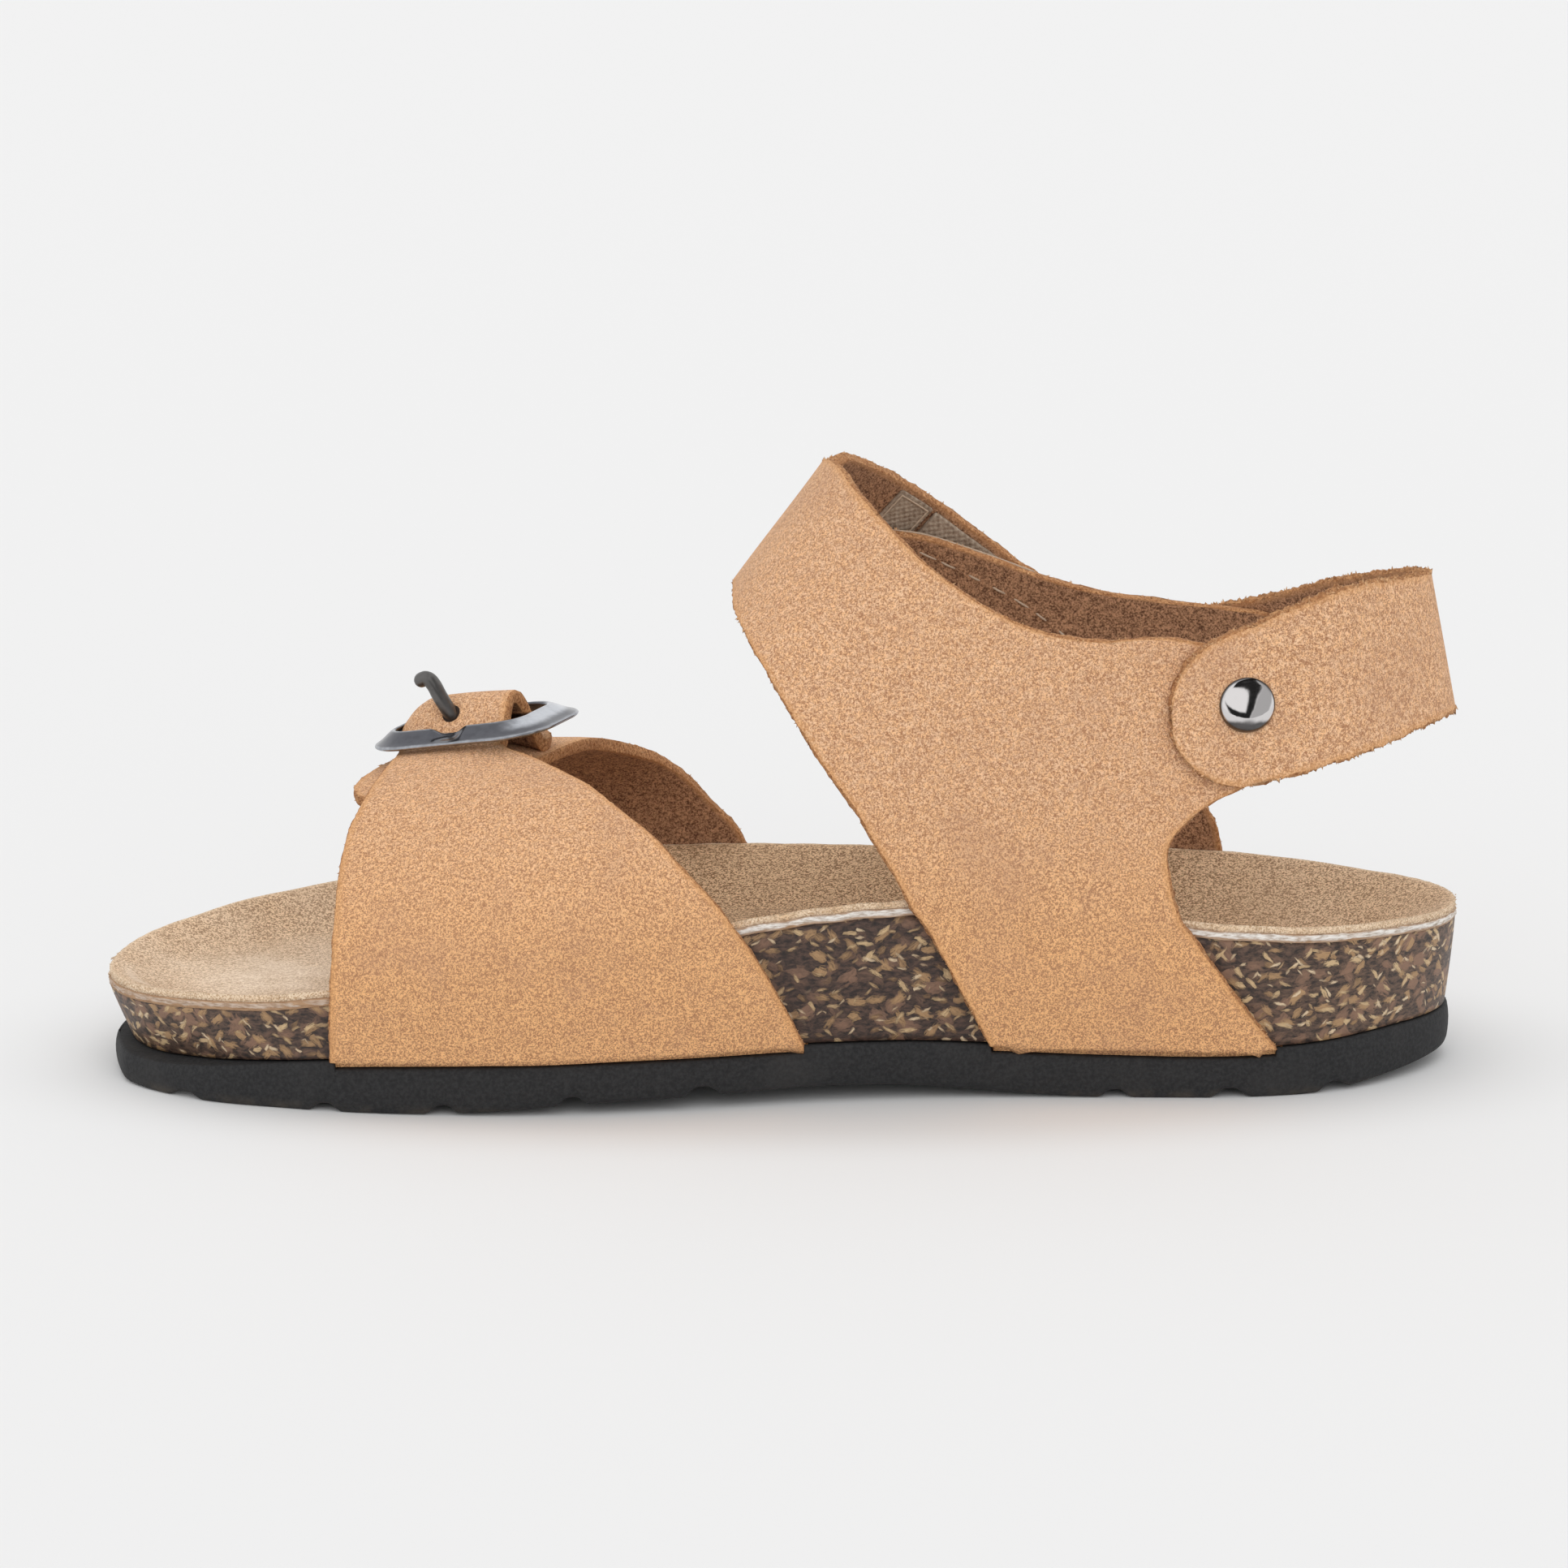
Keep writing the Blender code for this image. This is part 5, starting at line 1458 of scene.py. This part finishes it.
def buckle_piece(paint):
    """Cast frame: the bar's section carried round a rounded rectangle, broader to the heel, with a scoop."""
    length, width = FRAME_LENGTH - FRAME_BAR, FRAME_WIDTH - FRAME_BAR
    path, outward = rounded_path(length, width, RING_CORNER, RING_STEPS)
    path = path + np.array([FRAME_SHIFT, 0.0])
    section = closed_curve(BAR_SECTION, SECTION_STEPS)
    broad = 1.0 + HEEL_BROADER * smooth(4.0, 11.0, path[:, 0])
    flat = path[:, None] + outward[:, None] * section[None, :, :1] * broad[:, None, None]
    near = smooth(-0.35, -0.8, outward[:, 1])[:, None]
    scoop = np.exp(-((flat[..., 0] - SCOOP_B) / NOTCH_HALF) ** 4) * near
    top = smooth(-0.4, 1.2, section[:, 1])[None]
    up = section[None, :, 1] - NOTCH_DEPTH * scoop * top
    points = from_buckle(np.concatenate([flat, up[..., None]], -1))
    quads = grid_quads(len(path) + 1, len(section), True) % (len(path) * len(section))
    # Worn value: paler bare metal on the lower lip, the inner edge and the toe end, and a painted highlight
    # on the heel end's top
    lower_edge = smooth(1.30, 1.80, section[None, :, 0]) * 0.55
    inner_edge = smooth(1.20, 1.46, section[None, :, 1]) * 0.45
    heel_end_highlight = smooth(7.0, 13.0, flat[..., 0]) * smooth(-0.2, 0.8, section[None, :, 1]) * 0.9
    toe_end = smooth(-9.0, -13.0, flat[..., 0]) * 0.35
    worn = np.maximum(np.maximum(lower_edge, inner_edge), np.maximum(heel_end_highlight, toe_end))
    made = put("buckle_ring", points, quads[:, ::-1], [paint], None, None, {"worn": worn})
    fitted(made, "buckle_frame")


def tube(path, radius, sides):
    """Round bar along a path: circles square to it, on axes carried along, with domed ends."""
    along = unit(np.gradient(path, axis=0))
    reference = np.array([0.0, 0.0, 1.0]) if abs(along[:, 2]).max() < 0.9 else np.array([0.83, 0.55, 0.03])
    first = unit(np.cross(along, reference))
    second = np.cross(along, first)
    turn = np.linspace(0.0, 2.0 * np.pi, sides, endpoint=False)
    ring = first[:, None] * np.cos(turn)[None, :, None] + second[:, None] * np.sin(turn)[None, :, None]
    body = path[:, None] + ring * np.broadcast_to(radius, len(path))[:, None, None]
    dome = np.radians(np.linspace(18.0, 90.0, 5))
    caps = []
    for end, sign in ((0, -1.0), (-1, 1.0)):
        size = np.broadcast_to(radius, len(path))[end]
        cap = path[end] + ring[end][None] * (size * np.cos(dome))[:, None, None]
        caps.append(cap + sign * along[end] * (size * np.sin(dome))[:, None, None])
    return np.concatenate([caps[0][::-1], body, caps[1]])


def tube_piece(name, path, radius, sides, paint):
    """Closed round bar along a path, as a mesh object."""
    points = tube(path, radius, sides)
    return put(name, points, grid_quads(points.shape[0], sides, True), [paint])


def prong_piece(paint):
    """Bent wire of even thickness through the prong's table."""
    stops = travelled(PRONG)
    way = np.linspace(0.0, stops[-1], 90)
    path = np.stack([through(stops, PRONG[:, k], way) for k in range(3)], -1)
    made = tube_piece("prong_wire", from_buckle(path), PRONG_RADIUS, WIRE_SIDES, paint)
    fitted(made, "buckle_prong")


def centre_bar_piece(paint):
    """Round bar across the frame, under the tongue's arch."""
    half = 0.5 * FRAME_LENGTH - CENTRE_BAR_INSET
    b = np.linspace(-half, half, 30) + FRAME_SHIFT
    path = from_buckle(np.stack([b, np.zeros_like(b), np.full_like(b, CENTRE_BAR_RAISE)], -1))
    made = tube_piece("buckle_centre_bar", path, CENTRE_BAR_RADIUS, WIRE_SIDES, paint)
    fitted(made, "buckle_frame")


# Cap rivet's outline from the middle of the dome to the middle of the inner head
RIVET_SECTION = np.array([
    # radius, height over the strap's outer face
    (0.00, 1.46),
    (0.70, 1.44),
    (1.40, 1.36),
    (2.10, 1.22),
    (2.80, 1.00),
    (3.25, 0.80),
    (3.55, 0.60),
    (3.74, 0.38),
    (3.84, 0.14),
    (3.78, -0.20),
    (3.30, -0.30),
    (1.60, -0.30),
    (1.60, -3.70),
    (3.30, -3.95),
    (3.42, -4.05),
    (3.42, -4.50),
    (3.20, -4.70),
    (0.00, -4.73),
])


def turned(name, foot, axis, section, sides, paint, lean=0.0):
    """Body turned round an axis through its foot: a table of radius and height, from top to underside.

    A lean presses its dome: heights fall towards the top of the shoe by the lean, and by nothing at the rim.
    The worn value is 1 on the dome, 0 on the rolled rim, and 0 on the dome's lower edge as a painted
    reflection.
    """
    first = unit(np.cross(axis, np.array([1.0, 0.0, 0.0])))
    second = np.cross(axis, first)
    turn = np.linspace(0.0, 2.0 * np.pi, sides, endpoint=False)
    ring = first * np.cos(turn)[:, None] + second * np.sin(turn)[:, None]
    radius, height_over = section[:, :1], section[:, 1:]
    fall = lean * np.sign(first[2]) * radius * np.cos(turn) * (1.0 - (radius / section[:, 0].max()) ** 4)
    rise = height_over - fall * (height_over > 0.0)
    points = foot + ring[None] * radius[..., None] + axis * rise[..., None]
    # Dark towards the dome's lower edge: a painted dark reflection
    down = -np.sign(first[2]) * np.cos(turn) * radius / section[:, 0].max()
    bare = (1.0 - smooth(3.45, 3.75, radius)) * (1.0 - smooth(0.40, 0.66, down))
    quads = grid_quads(len(section), sides, True)[:, ::-1]
    return put(name, points, quads, [paint], None, None, {"worn": bare})


def rivet_piece(name, side, paint):
    """Cap rivet: its outline turned round the strap's normal, its dome pressed from above."""
    way = np.array([-RIVET_WAY if side == 1 else RIVET_WAY])
    z = through(HEEL_STRAP[:, 0], HEEL_STRAP[:, 1], way) + RIVET_RAISE
    axis = heel_normal(way, z)[0]
    foot = heel_point(way, z)[0] + axis * (LAP_LIFT + LEATHER)
    made = turned(name, foot, axis, RIVET_SECTION, 64, paint, RIVET_LEAN)
    fitted(made, "rivet_medial" if side == 1 else "rivet_lateral")


def prong_hole(grid, paint):
    """Painted shade of the hole round the prong: a thin dark disc on the tongue's outer face, square to it.
    """
    normal = grid_normals(grid).reshape(-1, 3)
    outer = grid.reshape(-1, 3) + normal * LEATHER
    crossing = from_buckle(PRONG[HOLE_ROW])
    near = np.argmin(((outer - crossing) ** 2).sum(-1))
    disc = np.array([(0.0, 0.05), (HOLE_RADIUS, 0.05), (HOLE_RADIUS, -0.15), (0.0, -0.15)])
    made = turned("prong_hole", outer[near], normal[near], disc, 24, paint)
    fitted(made, "toe_strap")


def straps():
    """The leather pieces of the toe strap and the ankle strap, with the fibre ends of their cut edges."""
    leather = [nubuck_grain(), nubuck_cut_edge(), nubuck_flesh()]
    nap = nubuck_nap()
    tongue = strap_grid(toe_medial_rows(), TOE_STEP, 96)
    toe_outer = strap_grid(toe_lateral_rows(), TOE_STEP, 84)
    instep = strap_grid(ankle_medial_rows(), ANKLE_STEP, 100)
    quarter = strap_grid(ankle_lateral_rows(), ANKLE_STEP, 84)
    pieces = (
        # name, node, grid, seed, raggedness, fibres per mm of edge, reach of the fibres
        ("toe_strap_inner_side", "toe_strap", tongue, 100, 0.07, 4.5, 0.48),
        ("toe_strap_outer_side", "toe_strap", toe_outer, 200, 0.07, 4.5, 0.48),
        ("quarter_and_instep_strap", "ankle_strap", instep, 300, 0.10, 5.0, 0.52),
        ("outer_quarter", "ankle_strap", quarter, 400, 0.09, 5.0, 0.50),
        ("heel_strap", "ankle_strap", heel_band(300, 46), 500, 0.20, 7.0, 0.72),
    )
    for name, node, grid, seed, ragged, per_mm, reach in pieces:
        fitted(sheet(name, grid, seed, ragged, LEATHER, leather), node)
        fitted(fuzz(name + "_nap", grid, LEATHER, per_mm, reach, seed + 50, nap), node)
    shadow = Paint("hole_shadow", base_color=(0.030, 0.018, 0.012, 1.0), roughness=1.0)
    prong_hole(tongue, shadow.material)


def threads(name, paths, radius, paint):
    """Sewing threads: one round bar for each path, all in one mesh."""
    points, quads, count = [], [], 0
    for path in paths:
        bar = tube(path, radius, THREAD_SIDES)
        quads.append(grid_quads(bar.shape[0], THREAD_SIDES, True, count))
        points.append(bar.reshape(-1, 3))
        count += len(points[-1])
    return put(name, np.concatenate(points), np.concatenate(quads), [paint])


def quarter_line(table, lift, way):
    """Points on the last's outer side through a table of x and height, at ways along it."""
    stops = travelled(table)
    x = through(stops, table[:, 0], way)
    z = through(stops, table[:, 1], way)
    point, normal = last(x, turn_at_height(x, z, 2))
    return point + normal * np.broadcast_to(lift, x.shape)[:, None]


def stitches(paint):
    """Stitches inside the outer quarter, each one half wave out of the flesh side, and a top thread.

    Their lengths and heights change a little at random.
    """
    source = np.random.default_rng(31)
    length = travelled(STITCH_LINE)[-1]
    t = np.linspace(0.0, 1.0, 9)
    paths = []
    for start in np.arange(0.3, length - STITCH_LENGTH, STITCH_PITCH):
        size = STITCH_LENGTH * (0.65 + 0.4 * source.random())
        rise = 0.20 + 0.12 * source.random()
        way = start + 0.6 * source.random() + size * t
        paths.append(quarter_line(STITCH_LINE, GAP + 0.12 - rise * np.sin(np.pi * t), way))
    way = np.linspace(0.0, travelled(TOP_THREAD)[-1], 40)
    paths.append(quarter_line(TOP_THREAD, GAP + 0.7 * LEATHER, way))
    fitted(threads("quarter_stitches", paths, THREAD_RADIUS, paint), "ankle_strap")


def sunk(lifts, depth):
    """Lifts lowered by a depth, shoulders and dips kept."""
    return lifts - depth * np.array([1.0, 1.0, 0.0, 0.0, 0.0])


def hook_pieces(tape, paint):
    """Hook tape and sewn patch inside the instep strap's end, with the threads round the patch."""
    rows, lifts = ankle_medial_rows()
    for name, start, stop, low, high, thick in TAPES:
        way, across = np.linspace(start, stop, 50), np.linspace(low, high, 40)
        grid = strap_surface(rows, sunk(lifts, thick + LAYER_GAP), way, across)
        fitted(sheet(name, grid, 600, 0.02, thick, [tape, tape, tape]), "hook_patch")
    _, start, stop, _, high, thick = TAPES[1]
    inside = sunk(lifts, thick + LAYER_GAP + 0.05)
    across = np.linspace(0.55, high - 0.02, 30)
    way = np.linspace(start + PATCH_INSET, stop - PATCH_INSET, 20)
    up = strap_surface(rows, inside, way[:1], across)[0]
    down = strap_surface(rows, inside, way[-1:], across)[0]
    over = strap_surface(rows, inside, way, across[-1:])[:, 0]
    made = threads("patch_threads", [up, over, down], 0.8 * THREAD_RADIUS, paint)
    fitted(made, "hook_patch")


straps()
sewn = thread()
stitches(sewn)
hook_pieces(hook_tape(), sewn)
insole_piece(suede())
jute_piece(jute())
cork_piece(cork())
sole_piece(eva())
gunmetal = dark_metal("gunmetal", (0.115, 0.117, 0.132), (0.560, 0.580, 0.620), 0.13)
prong_metal = dark_metal("prong_metal", (0.150, 0.144, 0.140), (0.300, 0.300, 0.300), 0.30)
polished = dark_metal("polished_cap", (0.120, 0.115, 0.115), (0.720, 0.695, 0.690), 0.02)
buckle_piece(gunmetal)
centre_bar_piece(gunmetal)
prong_piece(prong_metal)
rivet_piece("rivet_inner_side", 1, polished)
rivet_piece("rivet_outer_side", 2, polished)


# Camera, in metres and lens millimetres, and the light's heading
LENS = 145.53
SENSOR = 36.0
CAMERA_PLACE = Vector((0.0, -0.87175, 0.2443))
CAMERA_AIM = Vector((0.0, -0.00175, 0.0390))
SUN_HEADING = Vector((-0.20, 0.85, -0.50))
SUN_ENERGY = 1.05
SUN_SPREAD = math.radians(60.0)

# Floor, in millimetres, and the half length and half width of its dark spot under the shoe, in metres
FLOOR_X = (-4000.0, 4000.0)
FLOOR_Y = (-3000.0, 6000.0)
SHADE_HALF = (0.100, 0.042)
SHADE_Y = -0.002


def facing(direction):
    """Rotation of a camera or light that looks along a direction."""
    return direction.to_track_quat("-Z", "Y").to_euler()


def camera():
    """Camera at the photograph's angle: a long lens a little above the shoe, square to its inner side."""
    lens = bpy.data.cameras.new("camera")
    lens.lens = LENS
    lens.sensor_width = SENSOR
    made = bpy.data.objects.new("camera", lens)
    bpy.context.scene.collection.objects.link(made)
    made.location = CAMERA_PLACE
    made.rotation_euler = facing(CAMERA_AIM - CAMERA_PLACE)
    bpy.context.scene.camera = made


class Sky(Paint):
    """The studio's surroundings, on the same node methods."""

    def __init__(self, name):
        self.world = bpy.data.worlds.new(name)
        self.world.use_nodes = True
        self.tree = self.world.node_tree
        self.shader = self.tree.nodes["Background"]


def studio():
    """Pale floor that glows away from the shoe, a white sky with dark gaps for the metal, a soft sun."""
    floor_paint = Paint("studio_floor", roughness=1.0, emission_strength=1.0)
    along, away, _ = floor_paint.split(floor_paint.place())
    along, away = along / SHADE_HALF[0], (away - SHADE_Y) / SHADE_HALF[1]
    clear = (along * along + away * away).math("SQRT").rise(0.90, 1.35)
    floor_paint.finish(floor_paint.mix(clear, (0.79, 0.79, 0.79), (0.45, 0.45, 0.45)))
    glow = floor_paint.mix(clear, (0.0, 0.0, 0.0), (0.375, 0.375, 0.375))
    floor_paint.join(floor_paint.shader.inputs["Emission Color"], glow)
    (left, right), (near, far) = FLOOR_X, FLOOR_Y
    corners = [(left, near, 0.0), (right, near, 0.0), (right, far, 0.0), (left, far, 0.0)]
    put("studio_floor", corners, [(0, 1, 2, 3)], [floor_paint.material])
    sky = Sky("studio_sky")
    along, away, up = sky.split(Value(sky, sky.node("ShaderNodeTexCoord", {}, {}).outputs["Generated"]))
    front = (away * -1.0).rise(0.05, 0.25)
    slant = along - up * 0.30
    band = slant.rise(0.04, 0.10) * (1.0 - slant.rise(0.24, 0.32)) * (1.0 - up.rise(0.90, 0.97))
    low = (1.0 - up.rise(0.22, 0.30)) * (1.0 - slant.rise(0.24, 0.32)) * along.rise(-0.60, -0.45)
    grey = slant.rise(0.24, 0.32) * (1.0 - along.rise(0.85, 0.97)) * 0.50
    gap = (band.math("MAXIMUM", low).math("MAXIMUM", grey)) * front
    sky.join(sky.shader.inputs["Color"], sky.mix(gap, (1.0, 1.0, 1.0), (0.02, 0.02, 0.02)))
    bpy.context.scene.world = sky.world
    bpy.context.scene.view_settings.view_transform = "Standard"
    sun = bpy.data.lights.new("soft_sun", "SUN")
    sun.energy = SUN_ENERGY
    sun.angle = SUN_SPREAD
    made = bpy.data.objects.new("soft_sun", sun)
    bpy.context.scene.collection.objects.link(made)
    made.rotation_euler = facing(SUN_HEADING)
    made.visible_glossy = False


camera()
studio()
